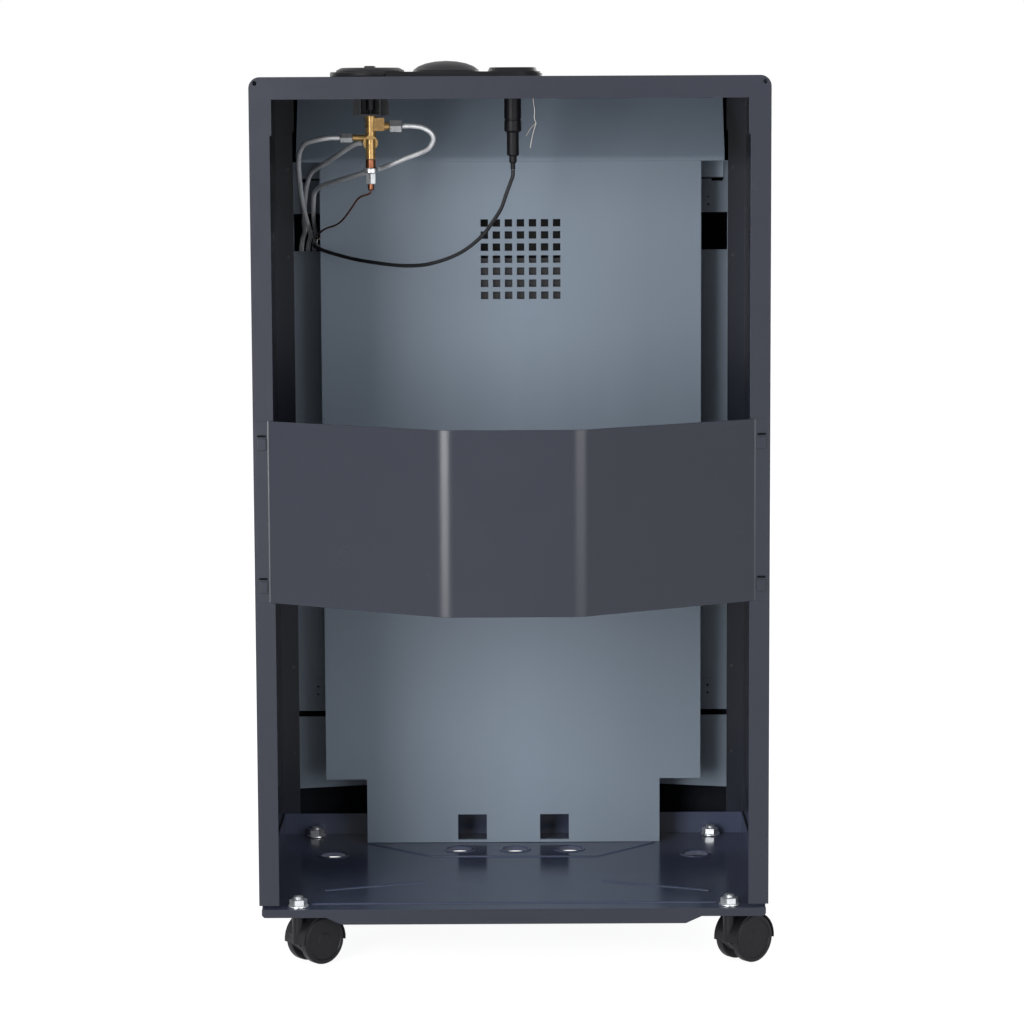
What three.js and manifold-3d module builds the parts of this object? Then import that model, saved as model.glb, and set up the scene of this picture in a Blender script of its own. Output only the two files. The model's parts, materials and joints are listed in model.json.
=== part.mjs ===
// Portable gas cabinet heater: sheet-metal cabinet on four twin-wheel castors, open at the rear.
// Millimetres, +Z up. The front faces -Y and the open rear faces +Y; the origin is on the floor,
// under the middle of the whole object.
// Depths are measured forward from the plane of the cabinet's rear flanges and turned into Y by at().
import * as THREE from "three";
import { mergeVertices } from "three/addons/utils/BufferGeometryUtils.js";
import Module from "manifold-3d";

const wasm = await Module();
wasm.setup();

// ---- driving dimensions ----
const GAP = 0.3; // between pieces that touch
const SHEET = 1.2; // sheet metal of the cabinet, shield and band
const CASE_WIDTH = 420;
const CASE_DEPTH = 300; // rear flange face to front flange face
const CASE_TOP = 731; // top face of the lid
const CASE_FOOT = 52.4; // lower edge of the side walls
const CASE_CORNER = 9;
const SIDE_FLANGE = 16.5;
const TOP_FLANGE = 18;
const TOP_FLANGE_STEP = 1.6; // the side flange is this much wider near the lid
const TOP_FLANGE_STEP_Z = 684;
const RELIEF_HOLE_R = 2;
const RELIEF_HOLE_INSET = 5; // from the lid and the side wall
const PAST = 1; // how far a cutter runs past the face it cuts

const BASE_INSET = 2; // each side of the base inside the case
const BASE_TOP = 49; // upper face of the tray floor
const BASE_LIP = 6.8; // depth of the rear lip over the castors
const BASE_APRON = 12.7; // depth of the rear lip between the castors
const APRON_HALF = 142;
const APRON_SLOPE = 13;
const BASE_SIDE_FLANGE = 19;
const BASE_FLANGE_INSET = 6; // where the side flanges begin behind the rear lip
const LIP_CORNER = 2;
const FLOOR_HOLE_R = 11;
const FLOOR_HOLES = [
  [48, 230],
  [-1.5, 229],
  [-50, 230],
  [159, 208],
  [-161, 208],
]; // X and depth

const SHIELD_HALF = 167.5;
const SHIELD_DEPTH = 258.5; // rear face of the heat shield
const SHIELD_TOP = 660;
const SHIELD_SHOULDER = 107; // where the wide part steps in to the foot
const SHIELD_FOOT_HALF = 131;
const SHIELD_WINDOW = [25.8, 23]; // width and height of the two windows in the foot
const SHIELD_WINDOW_X = 36.8;
const SHIELD_WINDOW_SILL = 2.4;
const SHIELD_FOOT_FLANGE = 10;
const VENT_COUNT = 7;
const VENT_PITCH = 10.6;
const VENT_HOLE = 6.6;
const VENT_X = -8.6;
const VENT_Z = 572;
const SHIELD_TAB_HEIGHT = 20;
const SHIELD_TAB_FOOT = 13;
const SHIELD_TAB_UPPER = 622;
const SHIELD_TAB_LOWER = 181;
const TAB_HOLE_R = 1.4;
const TAB_HOLE_PITCH = 7.2;
const TAB_HOLE_SHARE = 0.7; // how far along its foot a tab's holes stand

const DEFLECTOR_INSET = 22; // from the case's sides
const DEFLECTOR_FOOT = 657.5;
const DEFLECTOR_LAP = 5;
const DEFLECTOR_TOP_DEPTH = 297.5;
const DEFLECTOR_LIP = 2; // upright edge under the lid

const BACK_PLATE_INSET = 4; // from the case's sides
const BACK_PLATE_LOW = 162;
const BACK_PLATE_HIGH = 657;
const PIPE_OPENING = [169, 193, 578, 611]; // X from and to, Z from and to
const PLATE_SLOT = [179, 189, 639, 641];
const LOWER_PLATE_LOW = 94;
const LOWER_PLATE_HIGH = 157;
const LOWER_PLATE_SLOPE = 4;

const FASCIA_INSET = 0.6; // from the case's sides
const FASCIA_LOW = 262;
const FASCIA_HIGH = 730;
const FASCIA_REACH = 45; // how far the front surround stands ahead of the cabinet
const FASCIA_WALL = 1.5;
const FASCIA_CORNER = 12;
const MOUTH_HALF = 168; // opening in the front surround
const MOUTH_HEIGHT = 266;
const FRONT_PANEL_BULGE = 33;
const FRONT_PANEL_STEPS = 16; // facets across the bow
const FRONT_PANEL_EDGE = 0.08; // 0 bows like half an ellipse, 1 is flat
const FRONT_PANEL_HIGH = 260;

const BURNER_Z = 470; // middle of the burner
const PLAQUE_COUNT = 3;
const PLAQUE_PITCH = 98;
const PLAQUE_WIDTH = 92;
const PLAQUE_HEIGHT = 210;
const PLAQUE_THICK = 12;
const BURNER_BOX_INSET = [9.5, 6]; // inside the rim, beside and above
const BURNER_BOX_BACK = 266; // depth of the burner box's rear face
const BURNER_RIM_MARGIN = [5.5, 4]; // outside the plaques, beside and above
const BURNER_RIM_DEPTH = 318; // depth of the rim's front face
const FRAME_BAR = 4; // how far the plaque frame laps each plaque
const CHAMBER_INSET = 6; // a chamber of the burner box is this much narrower than its plaque, each side
const REFLECTOR_RIM = 7;
const REFLECTOR_START = 2; // ahead of the burner's rim
const REFLECTOR_CLEAR = 1; // round the burner's rim
const PILOT_WINDOW = 15; // half height of the reflector's cut-out for the pilot

const GUARD_ROD_R = 2.5;
const GUARD_WIRE_R = 1.3;
const GUARD_WIRES = 11;
const GUARD_BARS = 3;
const WIRE_SIDES = 4;
const GUARD_BOW = 8;
const GUARD_LEAN = 12; // height over which an upright wire leans out
const GUARD_MARGIN = 5; // the guard's loop stands this far outside the opening

const BAND_HEIGHT = 149;
const BAND_LOW = 305;
const BAND_BULGE = 87; // how far the band's middle stands behind the rear flanges
const BAND_BEND_HALF = 54;
const BAND_BEND_R = 30;
const BAND_FOOT_INSET = 12.5; // from the case's sides
const BAND_FOOT_R = 4;
const BAND_EAR = 11; // width of the flat ear beyond the bend
const HOOK_Z = [441, 324]; // upper edges of the hooks
const HOOK_INSET = 7; // from the case's sides
const HOOK_WIDTH = 6.4;
const HOOK_NECK = 4;
const HOOK_DROP = 7;
const HOOK_CLEAR = 0.6;
const BAND_LIFT = 8;

const CASTOR_INSET = 31.5; // from the case's sides to the stems
const CASTOR_REAR = 12; // depth of the rear castors' stems
const CASTOR_FRONT = 288;
const CASTOR_TRAIL = 17;
const CASTOR_ANGLE = 220; // heading of the rear castors, degrees from +X
const WHEEL_R = 20;
const WHEEL_THICK = 8;
const TREAD_ROUND = 1.6;
const WHEEL_GAP = 0.5; // beside and above the wheels
const CASTOR_WEB = 10.4;
const HOOD_WALL = 1.2;
const AXLE_R = 3;
const AXLE_INSET = 2; // from a wheel's outer face to the axle's end
const HOOD_DIP = 0.08; // radians the hood reaches below the axle
const WEB_REAR = [-14, -9]; // lower corners of the web, from the axle
const WEB_FRONT = [3, -9];
const BOSS_FOOT = 18;
const BOSS_FLOOR = 3;
const STEM_R = 3.5;
const STUD_R = 4;
const SWIVEL_CLEAR = 0.5;
const COLLAR_R = 7.5;
const COLLAR_THICK = 1.2;
const NUT_FLAT = 13;
const NUT_HEIGHT = 6.4;
const NUT_FLANGE_R = 8.5;
const NUT_FLANGE_THICK = 1.4;
const STUD_OVER = 2.5; // how far the stud stands above its nut

const BEZEL_THICK = 4.2;
const BEZEL_BIG_R = 34;
const BEZEL_SMALL_R = 25;
const BEZEL_CHAMFER = 1.5;
const BEZEL_DEPTH = 150; // depth of the controls' centre line
const BEZEL_END = 104; // X where the bezel's flanks end beside the knob's collar
const COLLAR_SIDES = 40;
const KNOB_X = 118;
const KNOB_R = 28.8;
const KNOB_WELL_CLEAR = 1.9; // round the knob in its collar
const KNOB_TOP_R = 24;
const KNOB_HEIGHT = 4.2;
const KNOB_GRIP = [34, 9, 3]; // length, width and height of the grip
const KNOB_PUSH = 3;
const KNOB_CLEAR = 0.6; // under the knob when it is pushed in
const KNOB_SKIN = 1.2; // over the spindle's end
const DOME_X = 54;
const DOME_R = 29;
const DOME_HEIGHT = 11.2;
const DOME_STEPS = 5;
const BUTTON_X = -2.2;
const BUTTON_R = 11;
const BUTTON_RING_R = 23.3;
const BUTTON_RING_HEIGHT = 3.4;
const BUTTON_RING_TAPER = 4;
const BUTTON_TRAVEL = 5;
const RUN_CLEAR = 0.5; // round knob, button, spindle and stem

const SPINDLE_R = 3.8;
const SPINDLE_TIP_R = 1.8;
const SPINDLE_DIP = 6; // how far the tip stands in the valve
const SPINDLE_LAP = 6; // how far the tip runs up inside the sleeve
const LID_CLEAR = 1; // round the spindle in the lid
const VALVE_TOP = 698.6;
const BARREL_R = 4.5;
const BARREL_FOOT = 679;
const PORT_R = 6.3;
const PORT_Z = 676;
const PORT_LENGTH = 7;
const BARREL_LAP = 4; // how far the barrel runs down into the port
const VALVE_RIM = [3, 0.6]; // height of the rim at the barrel's top and how far it stands out
const VALVE_BORE = 10;
const ARM_HALF = 4; // half thickness of the right arm along the depth
const NOSE_R = 3.4;
const MAGNET_SHIFT = 5; // the safety magnet's barrel stands this much nearer the rear
const MAGNET_R = 4.2;
const MAGNET_FOOT = 662.4;
const COPPER_FOOT = 655;
const MAGNET_NUT_FLAT = 11.4;
const MAGNET_NUT_FOOT = 641.4;
const FERRULE_R = 2.7;
const FERRULE_FOOT = 636;
const BRACKET_WIDTH = 30;
const BRACKET_SETBACK = 10; // the bracket's upright stands this far ahead of the spindle
const BRACKET_FLANGE = 14;
const BRACKET_SHELF_HALF = 9;
const BRACKET_SHELF_REACH = 7; // how far the shelf runs behind the spindle
const BRACKET_CHEEK_REACH = 5;
const BRACKET_CHEEK_DROP = 4; // from the top flange down to the cheeks
const RIGHT_ARM = [115.4, 106.3, 102.1, 686, 697]; // X from and to, X of the nose's end, Z from and to
const RIGHT_NUT = [101.8, 91.6, 690]; // X from and to, Z
const LEFT_ARM_END = 133.2;
const LEFT_NUT = [133.5, 143.8, 680.3];
const ARM_R = 2.6;
const RIGHT_NUT_FLAT = 9.8;
const LEFT_NUT_FLAT = 7.6;
const INLET_LENGTH = 24;
const INLET_R = 3;
const INLET_RISE = 9; // above the port's axis
const BARB = [2, 0.9]; // length of a barb and how far it stands out
const BARB_COUNT = 3;
const BARB_PITCH = 5;

const PIPE_R = 1.7;
const LEAD_R = 1.6;
const CAPILLARY_R = 0.8;

const IGNITER_R = 7.2;
const IGNITER_WAIST_R = 5.1;
const IGNITER_WAIST = 685;
const IGNITER_NECK_R = 3.2;
const IGNITER_NECK = 664.5;
const IGNITER_FOOT = 653;
const IGNITER_TIP = [2, 6]; // radius and height
const IGNITER_NUT_FLAT = 21;
const IGNITER_NUT_HEIGHT = 5;
const BUTTON_STEM_R = 4.2;
const BUTTON_STEM = 19; // how far the stem reaches below the bezel
const BORE_CLEAR = 4; // under the stem's end when the button is in

const PILOT_SIZE = [12, 12, 20];
const PILOT_START = 4; // its foot stands this far ahead of the burner's rim
const PILOT_REACH = 6; // its rods stand this far ahead of the plaques
const PILOT_RODS = [
  { rise: 0, r: 2.5, length: 17, arm: 6 },
  { rise: 7, r: 1, length: 21, arm: 3 },
  { rise: -7, r: 1.4, length: 19, arm: 3.6 },
]; // flame nozzle, spark electrode and probe
const PILOT_Z = 572;

// ---- worked out from the above ----
const HALF = CASE_WIDTH / 2;
const BASE_WIDTH = CASE_WIDTH - 2 * BASE_INSET;
const DEFLECTOR_HALF = HALF - DEFLECTOR_INSET;
const BACK_PLATE_HALF = HALF - BACK_PLATE_INSET;
const FASCIA_HALF = HALF - FASCIA_INSET;
const BAND_FOOT_HALF = HALF - BAND_FOOT_INSET;
const HOOK_X = HALF - HOOK_INSET;
const CASTOR_X = HALF - CASTOR_INSET;
const PLAQUES_HALF = ((PLAQUE_COUNT - 1) / 2) * PLAQUE_PITCH + PLAQUE_WIDTH / 2;
const BURNER_RIM_HALF = PLAQUES_HALF + BURNER_RIM_MARGIN[0];
const BURNER_RIM_HEIGHT = PLAQUE_HEIGHT + 2 * BURNER_RIM_MARGIN[1];
const BURNER_BOX_HALF = BURNER_RIM_HALF - BURNER_BOX_INSET[0];
const BURNER_BOX_HEIGHT = BURNER_RIM_HEIGHT - 2 * BURNER_BOX_INSET[1];
const LID_UNDER = CASE_TOP - SHEET;
const FLANGE_FRONT = CASE_DEPTH - SHEET; // rear face of the front flanges
const PANEL_DEPTH = CASE_DEPTH + GAP; // rear face of what is fixed to the front flanges
const FASCIA_REAR = PANEL_DEPTH + SHEET + GAP;
const FASCIA_FACE = CASE_DEPTH + FASCIA_REACH;
const GUARD_DEPTH = FASCIA_FACE + GAP + GUARD_ROD_R;
const FRONT_REACH = GUARD_DEPTH + GUARD_BOW + GUARD_WIRE_R;
const REAR_Y = (FRONT_REACH - BAND_BULGE) / 2;
const PLAQUE_DEPTH = BURNER_RIM_DEPTH + GAP;
const PLAQUE_FACE = PLAQUE_DEPTH + PLAQUE_THICK;
const FLOOR_UNDER = BASE_TOP - SHEET;
const HOOD_R = WHEEL_R + WHEEL_GAP + HOOD_WALL;
const CASTOR_WIDTH = CASTOR_WEB + 2 * (WHEEL_GAP + WHEEL_THICK);
const AXLE_LENGTH = CASTOR_WIDTH - 2 * AXLE_INSET;
const BEZEL_FOOT = CASE_TOP + GAP;
const BEZEL_TOP = BEZEL_FOOT + BEZEL_THICK;
const STEM_FOOT = BEZEL_FOOT - BUTTON_STEM;
const KNOB_FOOT = BEZEL_FOOT + KNOB_PUSH + KNOB_CLEAR;
const KNOB_TOP = KNOB_FOOT + KNOB_HEIGHT;
const SHELF_TOP = VALVE_TOP + GAP + SHEET; // upper face of the valve bracket's shelf

// Y of a depth forward of the rear flange plane.
function at(depth) {
  return REAR_Y - depth;
}

// ---- shapes ----
const FULL = 2 * Math.PI;

// A box from its lowest and highest X, depth and Z.
function block(x0, x1, d0, d1, z0, z1) {
  const g = new THREE.BoxGeometry(Math.abs(x1 - x0), Math.abs(d1 - d0), Math.abs(z1 - z0));
  return g.translate((x0 + x1) / 2, at((d0 + d1) / 2), (z0 + z1) / 2);
}

// An upright cylinder, or a cone where the upper radius differs.
function post(x, depth, z0, z1, r, sides = 24, topR = r) {
  const g = new THREE.CylinderGeometry(topR, r, z1 - z0, sides).rotateX(Math.PI / 2);
  return g.translate(x, at(depth), (z0 + z1) / 2);
}

// An upright hexagonal prism.
function hexPost(x, depth, z0, z1, flat) {
  return post(x, depth, z0, z1, flat / Math.sqrt(3), 6);
}

// A cylinder along X.
function rodX(x0, x1, depth, z, r, sides = 20) {
  const g = new THREE.CylinderGeometry(r, r, Math.abs(x1 - x0), sides).rotateZ(Math.PI / 2);
  return g.translate((x0 + x1) / 2, at(depth), z);
}

// A cylinder along the depth.
function rodY(x, d0, d1, z, r, sides = 20) {
  const g = new THREE.CylinderGeometry(r, r, Math.abs(d1 - d0), sides);
  return g.translate(x, at((d0 + d1) / 2), z);
}

function extruded(shape, depth, curveSegments) {
  return new THREE.ExtrudeGeometry(shape, { depth, bevelEnabled: false, curveSegments });
}

// An outline in X and Z, extruded forward from depth d0 to d1.
function plateXZ(shape, d0, d1, segments = 6) {
  return extruded(shape, d1 - d0, segments).rotateX(Math.PI / 2).translate(0, at(d0), 0);
}

// An outline in X and Y, extruded up from z0 to z1.
function plateXY(shape, z0, z1, segments = 8) {
  return extruded(shape, z1 - z0, segments).translate(0, 0, z0);
}

function outline(points) {
  return new THREE.Shape(points.map(([u, v]) => new THREE.Vector2(u, v)));
}

// A rectangle with rounded corners, from its lowest and highest corner.
function roundedRect(x0, y0, x1, y1, r) {
  const s = new THREE.Shape();
  s.moveTo(x0 + r, y0);
  s.absarc(x1 - r, y0 + r, r, -Math.PI / 2, 0);
  s.absarc(x1 - r, y1 - r, r, 0, Math.PI / 2);
  s.absarc(x0 + r, y1 - r, r, Math.PI / 2, Math.PI);
  s.absarc(x0 + r, y0 + r, r, Math.PI, 1.5 * Math.PI);
  return s;
}

// A round tube along a smooth curve through the points, each X, depth and Z.
function tube(points, r, sides, steps) {
  const path = new THREE.CatmullRomCurve3(points.map(([x, d, z]) => new THREE.Vector3(x, at(d), z)));
  const ring = [];
  for (let i = 0; i < sides; i++) {
    const a = (i * FULL) / sides;
    ring.push(new THREE.Vector2(r * Math.cos(a), r * Math.sin(a)));
  }
  return new THREE.ExtrudeGeometry(new THREE.Shape(ring), { steps, extrudePath: path, bevelEnabled: false });
}

function solid(geometry) {
  const bare = geometry.clone();
  bare.deleteAttribute("normal");
  bare.deleteAttribute("uv");
  const g = mergeVertices(bare, 1e-4);
  const mesh = new wasm.Mesh({
    numProp: 3,
    vertProperties: new Float32Array(g.attributes.position.array),
    triVerts: new Uint32Array(g.index.array),
  });
  return new wasm.Manifold(mesh);
}

function geometryOf(manifold) {
  const mesh = manifold.getMesh();
  const g = new THREE.BufferGeometry();
  g.setAttribute("position", new THREE.BufferAttribute(new Float32Array(mesh.vertProperties), 3));
  g.setIndex(new THREE.BufferAttribute(new Uint32Array(mesh.triVerts), 1));
  return g;
}

function join(...geometries) {
  return geometryOf(geometries.map(solid).reduce((a, b) => a.add(b)));
}

function cut(body, ...tools) {
  return geometryOf(tools.map(solid).reduce((a, b) => a.subtract(b), solid(body)));
}

// ---- materials ----
function finish(color, metalness, roughness) {
  return { color, metalness, roughness };
}
const CASE_PAINT = finish(0x3c404b, 0.4, 0.4);
const DARK_PAINT = finish(0x22252d, 0.4, 0.45);
const SHIELD_STEEL = finish(0x74808b, 0.7, 0.4);
const BRIGHT_STEEL = finish(0xc8ced3, 0.9, 0.25);
const BRASS = finish(0x9a7838, 0.9, 0.3);
const ALUMINIUM = finish(0xb0b5ba, 0.9, 0.3);
const BLACK_PLASTIC = finish(0x1d1e21, 0, 0.5);
const RUBBER = finish(0x1b1d20, 0, 0.8);
const CERAMIC = finish(0xe3d8c6, 0, 0.9);
const COPPER = finish(0x8a4a2c, 0.9, 0.35);

const heater = new THREE.Group();

function place(name, geometry, look, parent = heater) {
  const mesh = new THREE.Mesh(geometry, new THREE.MeshStandardMaterial(look));
  mesh.name = name;
  parent.add(mesh);
  return mesh;
}

// ---- cabinet ----
function caseOutline(inset) {
  const s = new THREE.Shape();
  const r = CASE_CORNER - inset;
  const x = HALF - inset;
  const top = CASE_TOP - inset;
  s.moveTo(-x, CASE_FOOT);
  s.lineTo(x, CASE_FOOT);
  s.absarc(x - r, top - r, r, 0, Math.PI / 2);
  s.absarc(-x + r, top - r, r, Math.PI / 2, Math.PI);
  return s;
}

// The window inside the rear or front flanges: open at the foot, a little narrower near the lid.
function flangeWindow() {
  const wide = HALF - SIDE_FLANGE;
  const narrow = wide - TOP_FLANGE_STEP;
  const top = CASE_TOP - TOP_FLANGE;
  const foot = CASE_FOOT - PAST;
  return outline([
    [-wide, foot],
    [wide, foot],
    [wide, TOP_FLANGE_STEP_Z],
    [narrow, TOP_FLANGE_STEP_Z],
    [narrow, top],
    [-narrow, top],
    [-narrow, TOP_FLANGE_STEP_Z],
    [-wide, TOP_FLANGE_STEP_Z],
  ]);
}

function cabinetWrapper() {
  const skin = plateXZ(caseOutline(0), 0, CASE_DEPTH);
  const inside = plateXZ(caseOutline(SHEET), SHEET, FLANGE_FRONT);
  const [left, right] = [-HALF + SHEET, HALF - SHEET];
  const below = block(left, right, SHEET, FLANGE_FRONT, CASE_FOOT - PAST, CASE_FOOT + PAST);
  const window = plateXZ(flangeWindow(), -PAST, CASE_DEPTH + PAST);
  const holes = [];
  for (const side of [-1, 1]) {
    const x = side * (HALF - RELIEF_HOLE_INSET);
    holes.push(rodY(x, -PAST, SHEET + PAST, CASE_TOP - RELIEF_HOLE_INSET, RELIEF_HOLE_R, 8));
    for (const z of HOOK_Z) {
      holes.push(hookSlot(side, z));
    }
  }
  const [low, high] = [LID_UNDER - PAST, CASE_TOP + PAST];
  holes.push(post(KNOB_X, BEZEL_DEPTH, low, high, SPINDLE_R + LID_CLEAR, 14));
  holes.push(post(BUTTON_X, BEZEL_DEPTH, low, high, IGNITER_R + RUN_CLEAR, 18));
  return cut(skin, inside, below, window, ...holes);
}

// The slot in a side flange that a band hook drops into: tall enough to lift the band out.
function hookSlot(side, z) {
  const half = HOOK_WIDTH / 2 + HOOK_CLEAR;
  const x = side * HOOK_X;
  const low = z - HOOK_NECK - HOOK_CLEAR;
  return block(x - half, x + half, -PAST, SHEET + PAST, low, z + BAND_LIFT + HOOK_CLEAR);
}

function baseTray() {
  const half = BASE_WIDTH / 2;
  const low = BASE_TOP - BASE_LIP;
  const apron = BASE_TOP - BASE_APRON;
  const floor = block(-half, half, 0, CASE_DEPTH, FLOOR_UNDER, BASE_TOP);
  const lip = plateXZ(
    outline([
      [-half, BASE_TOP],
      [-half, low + LIP_CORNER],
      [-half + LIP_CORNER, low],
      [-APRON_HALF - APRON_SLOPE, low],
      [-APRON_HALF, apron],
      [APRON_HALF, apron],
      [APRON_HALF + APRON_SLOPE, low],
      [half - LIP_CORNER, low],
      [half, low + LIP_CORNER],
      [half, BASE_TOP],
    ]),
    0,
    SHEET,
  );
  const flangeTop = BASE_TOP + BASE_SIDE_FLANGE;
  const flangeStart = SHEET + BASE_FLANGE_INSET;
  const flangeEnd = FLANGE_FRONT - GAP;
  const sides = [-1, 1].map((s) =>
    block(s * half, s * (half - SHEET), flangeStart, flangeEnd, FLOOR_UNDER, flangeTop),
  );
  const front = block(-half, half, flangeEnd - SHEET, flangeEnd, FLOOR_UNDER, flangeTop);
  const [under, over] = [FLOOR_UNDER - PAST, BASE_TOP + PAST];
  const holes = FLOOR_HOLES.map(([x, d]) => post(x, d, under, over, FLOOR_HOLE_R, 16));
  for (const { x, depth } of CASTORS) {
    holes.push(post(x, depth, under, over, STUD_R + GAP, 10));
  }
  return cut(join(floor, lip, ...sides, front), ...holes);
}

function heatShield() {
  const back = SHIELD_DEPTH + SHEET;
  const foot = BASE_TOP + GAP;
  const sheet = plateXZ(
    outline([
      [-SHIELD_FOOT_HALF, foot],
      [SHIELD_FOOT_HALF, foot],
      [SHIELD_FOOT_HALF, SHIELD_SHOULDER],
      [SHIELD_HALF, SHIELD_SHOULDER],
      [SHIELD_HALF, SHIELD_TOP],
      [-SHIELD_HALF, SHIELD_TOP],
      [-SHIELD_HALF, SHIELD_SHOULDER],
      [-SHIELD_FOOT_HALF, SHIELD_SHOULDER],
    ]),
    SHIELD_DEPTH,
    back,
  );
  const footFlange = block(
    -SHIELD_FOOT_HALF,
    SHIELD_FOOT_HALF,
    SHIELD_DEPTH,
    SHIELD_DEPTH + SHIELD_FOOT_FLANGE,
    foot,
    foot + SHEET,
  );
  const tabs = [];
  const holes = [];
  for (const side of [-1, 1]) {
    for (const z of [SHIELD_TAB_UPPER, SHIELD_TAB_LOWER]) {
      tabs.push(...shieldTab(side, z));
      for (const shift of [-1, 1]) {
        const hole = z + (shift * TAB_HOLE_PITCH) / 2;
        const x = side * (SHIELD_HALF + SHIELD_TAB_FOOT * TAB_HOLE_SHARE);
        holes.push(rodY(x, FLANGE_FRONT - PAST, CASE_DEPTH + PAST, hole, TAB_HOLE_R, 8));
      }
    }
    const x = side * SHIELD_WINDOW_X;
    const [width, height] = SHIELD_WINDOW;
    const sill = foot + SHIELD_WINDOW_SILL;
    holes.push(block(x - width / 2, x + width / 2, SHIELD_DEPTH - PAST, back + PAST, sill, sill + height));
  }
  return cut(join(sheet, footFlange, ...tabs), ...holes, ...ventHoles(back));
}

// An arm forward from the shield's edge and a foot turned out, which is screwed to the back plate.
function shieldTab(side, z) {
  const low = z - SHIELD_TAB_HEIGHT / 2;
  const high = z + SHIELD_TAB_HEIGHT / 2;
  const inner = side * (SHIELD_HALF - SHEET);
  const outer = side * (SHIELD_HALF + SHIELD_TAB_FOOT);
  return [
    block(inner, side * SHIELD_HALF, SHIELD_DEPTH, CASE_DEPTH, low, high),
    block(inner, outer, FLANGE_FRONT, CASE_DEPTH, low, high),
  ];
}

function ventHoles(back) {
  const holes = [];
  const start = (-(VENT_COUNT - 1) / 2) * VENT_PITCH;
  const half = VENT_HOLE / 2;
  for (let row = 0; row < VENT_COUNT; row++) {
    for (let column = 0; column < VENT_COUNT; column++) {
      const x = VENT_X + start + column * VENT_PITCH;
      const z = VENT_Z + start + row * VENT_PITCH;
      holes.push(block(x - half, x + half, SHIELD_DEPTH - PAST, back + PAST, z - half, z + half));
    }
  }
  return holes;
}

// A strip of sheet along points in depth and Z, spanning X from -half to half.
function foldedSheet(points, half) {
  const lower = points.map(([d, z]) => [at(d), z]);
  const upper = offsetLine(lower, SHEET);
  const s = outline([...lower, ...upper.reverse()]);
  const g = extruded(s, 2 * half, 1);
  // the outline's first axis becomes Y, its second Z and the extrusion X
  return g.applyMatrix4(new THREE.Matrix4().set(0, 0, 1, -half, 1, 0, 0, 0, 0, 1, 0, 0, 0, 0, 0, 1));
}

// The same line moved sideways by the sheet's thickness, mitred at its bends.
function offsetLine(points, distance) {
  const normals = [];
  for (let i = 0; i + 1 < points.length; i++) {
    const [u0, v0] = points[i];
    const [u1, v1] = points[i + 1];
    const length = Math.hypot(u1 - u0, v1 - v0);
    normals.push([-(v1 - v0) / length, (u1 - u0) / length]);
  }
  return points.map(([u, v], i) => {
    const a = normals[Math.max(i - 1, 0)];
    const b = normals[Math.min(i, normals.length - 1)];
    const scale = distance / (1 + a[0] * b[0] + a[1] * b[1]);
    return [u + (a[0] + b[0]) * scale, v + (a[1] + b[1]) * scale];
  });
}

function deflector() {
  const foot = SHIELD_DEPTH - GAP;
  return foldedSheet(
    [
      [foot - SHEET, DEFLECTOR_FOOT],
      [foot - SHEET, DEFLECTOR_FOOT + DEFLECTOR_LAP],
      [DEFLECTOR_TOP_DEPTH - SHEET, LID_UNDER - GAP - DEFLECTOR_LIP],
      [DEFLECTOR_TOP_DEPTH - SHEET, LID_UNDER - GAP],
    ].reverse(),
    DEFLECTOR_HALF,
  );
}

// ---- front ----
function backPlate() {
  const rear = PANEL_DEPTH;
  const front = rear + SHEET;
  const plate = block(-BACK_PLATE_HALF, BACK_PLATE_HALF, rear, front, BACK_PLATE_LOW, BACK_PLATE_HIGH);
  const half = BURNER_BOX_HALF + GAP;
  const rise = BURNER_BOX_HEIGHT / 2 + GAP;
  const holes = [block(-half, half, rear - PAST, front + PAST, BURNER_Z - rise, BURNER_Z + rise)];
  for (const side of [-1, 1]) {
    for (const [x0, x1, z0, z1] of [PIPE_OPENING, PLATE_SLOT]) {
      holes.push(block(side * x0, side * x1, rear - PAST, front + PAST, z0, z1));
    }
  }
  return cut(plate, ...holes);
}

function lowerBackPlate() {
  const half = BACK_PLATE_HALF;
  const low = LOWER_PLATE_LOW - LOWER_PLATE_SLOPE;
  const shape = new THREE.Shape();
  shape.moveTo(-half, low);
  shape.quadraticCurveTo(0, LOWER_PLATE_LOW + 2 * LOWER_PLATE_SLOPE, half, low);
  shape.lineTo(half, LOWER_PLATE_HIGH);
  shape.lineTo(-half, LOWER_PLATE_HIGH);
  return plateXZ(shape, PANEL_DEPTH, PANEL_DEPTH + SHEET, 12);
}

function frontSurround() {
  const outer = plateXZ(
    roundedRect(-FASCIA_HALF, FASCIA_LOW, FASCIA_HALF, FASCIA_HIGH, FASCIA_CORNER),
    FASCIA_REAR,
    FASCIA_FACE,
  );
  const wall = FASCIA_WALL;
  const inner = plateXZ(
    roundedRect(
      -FASCIA_HALF + wall,
      FASCIA_LOW + wall,
      FASCIA_HALF - wall,
      FASCIA_HIGH - wall,
      FASCIA_CORNER - wall,
    ),
    FASCIA_REAR - PAST,
    FASCIA_FACE - wall,
  );
  const rise = MOUTH_HEIGHT / 2;
  const [low, high] = [BURNER_Z - rise, BURNER_Z + rise];
  const mouth = block(-MOUTH_HALF, MOUTH_HALF, PANEL_DEPTH, FASCIA_FACE + PAST, low, high);
  return cut(outer, inner, mouth);
}

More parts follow.
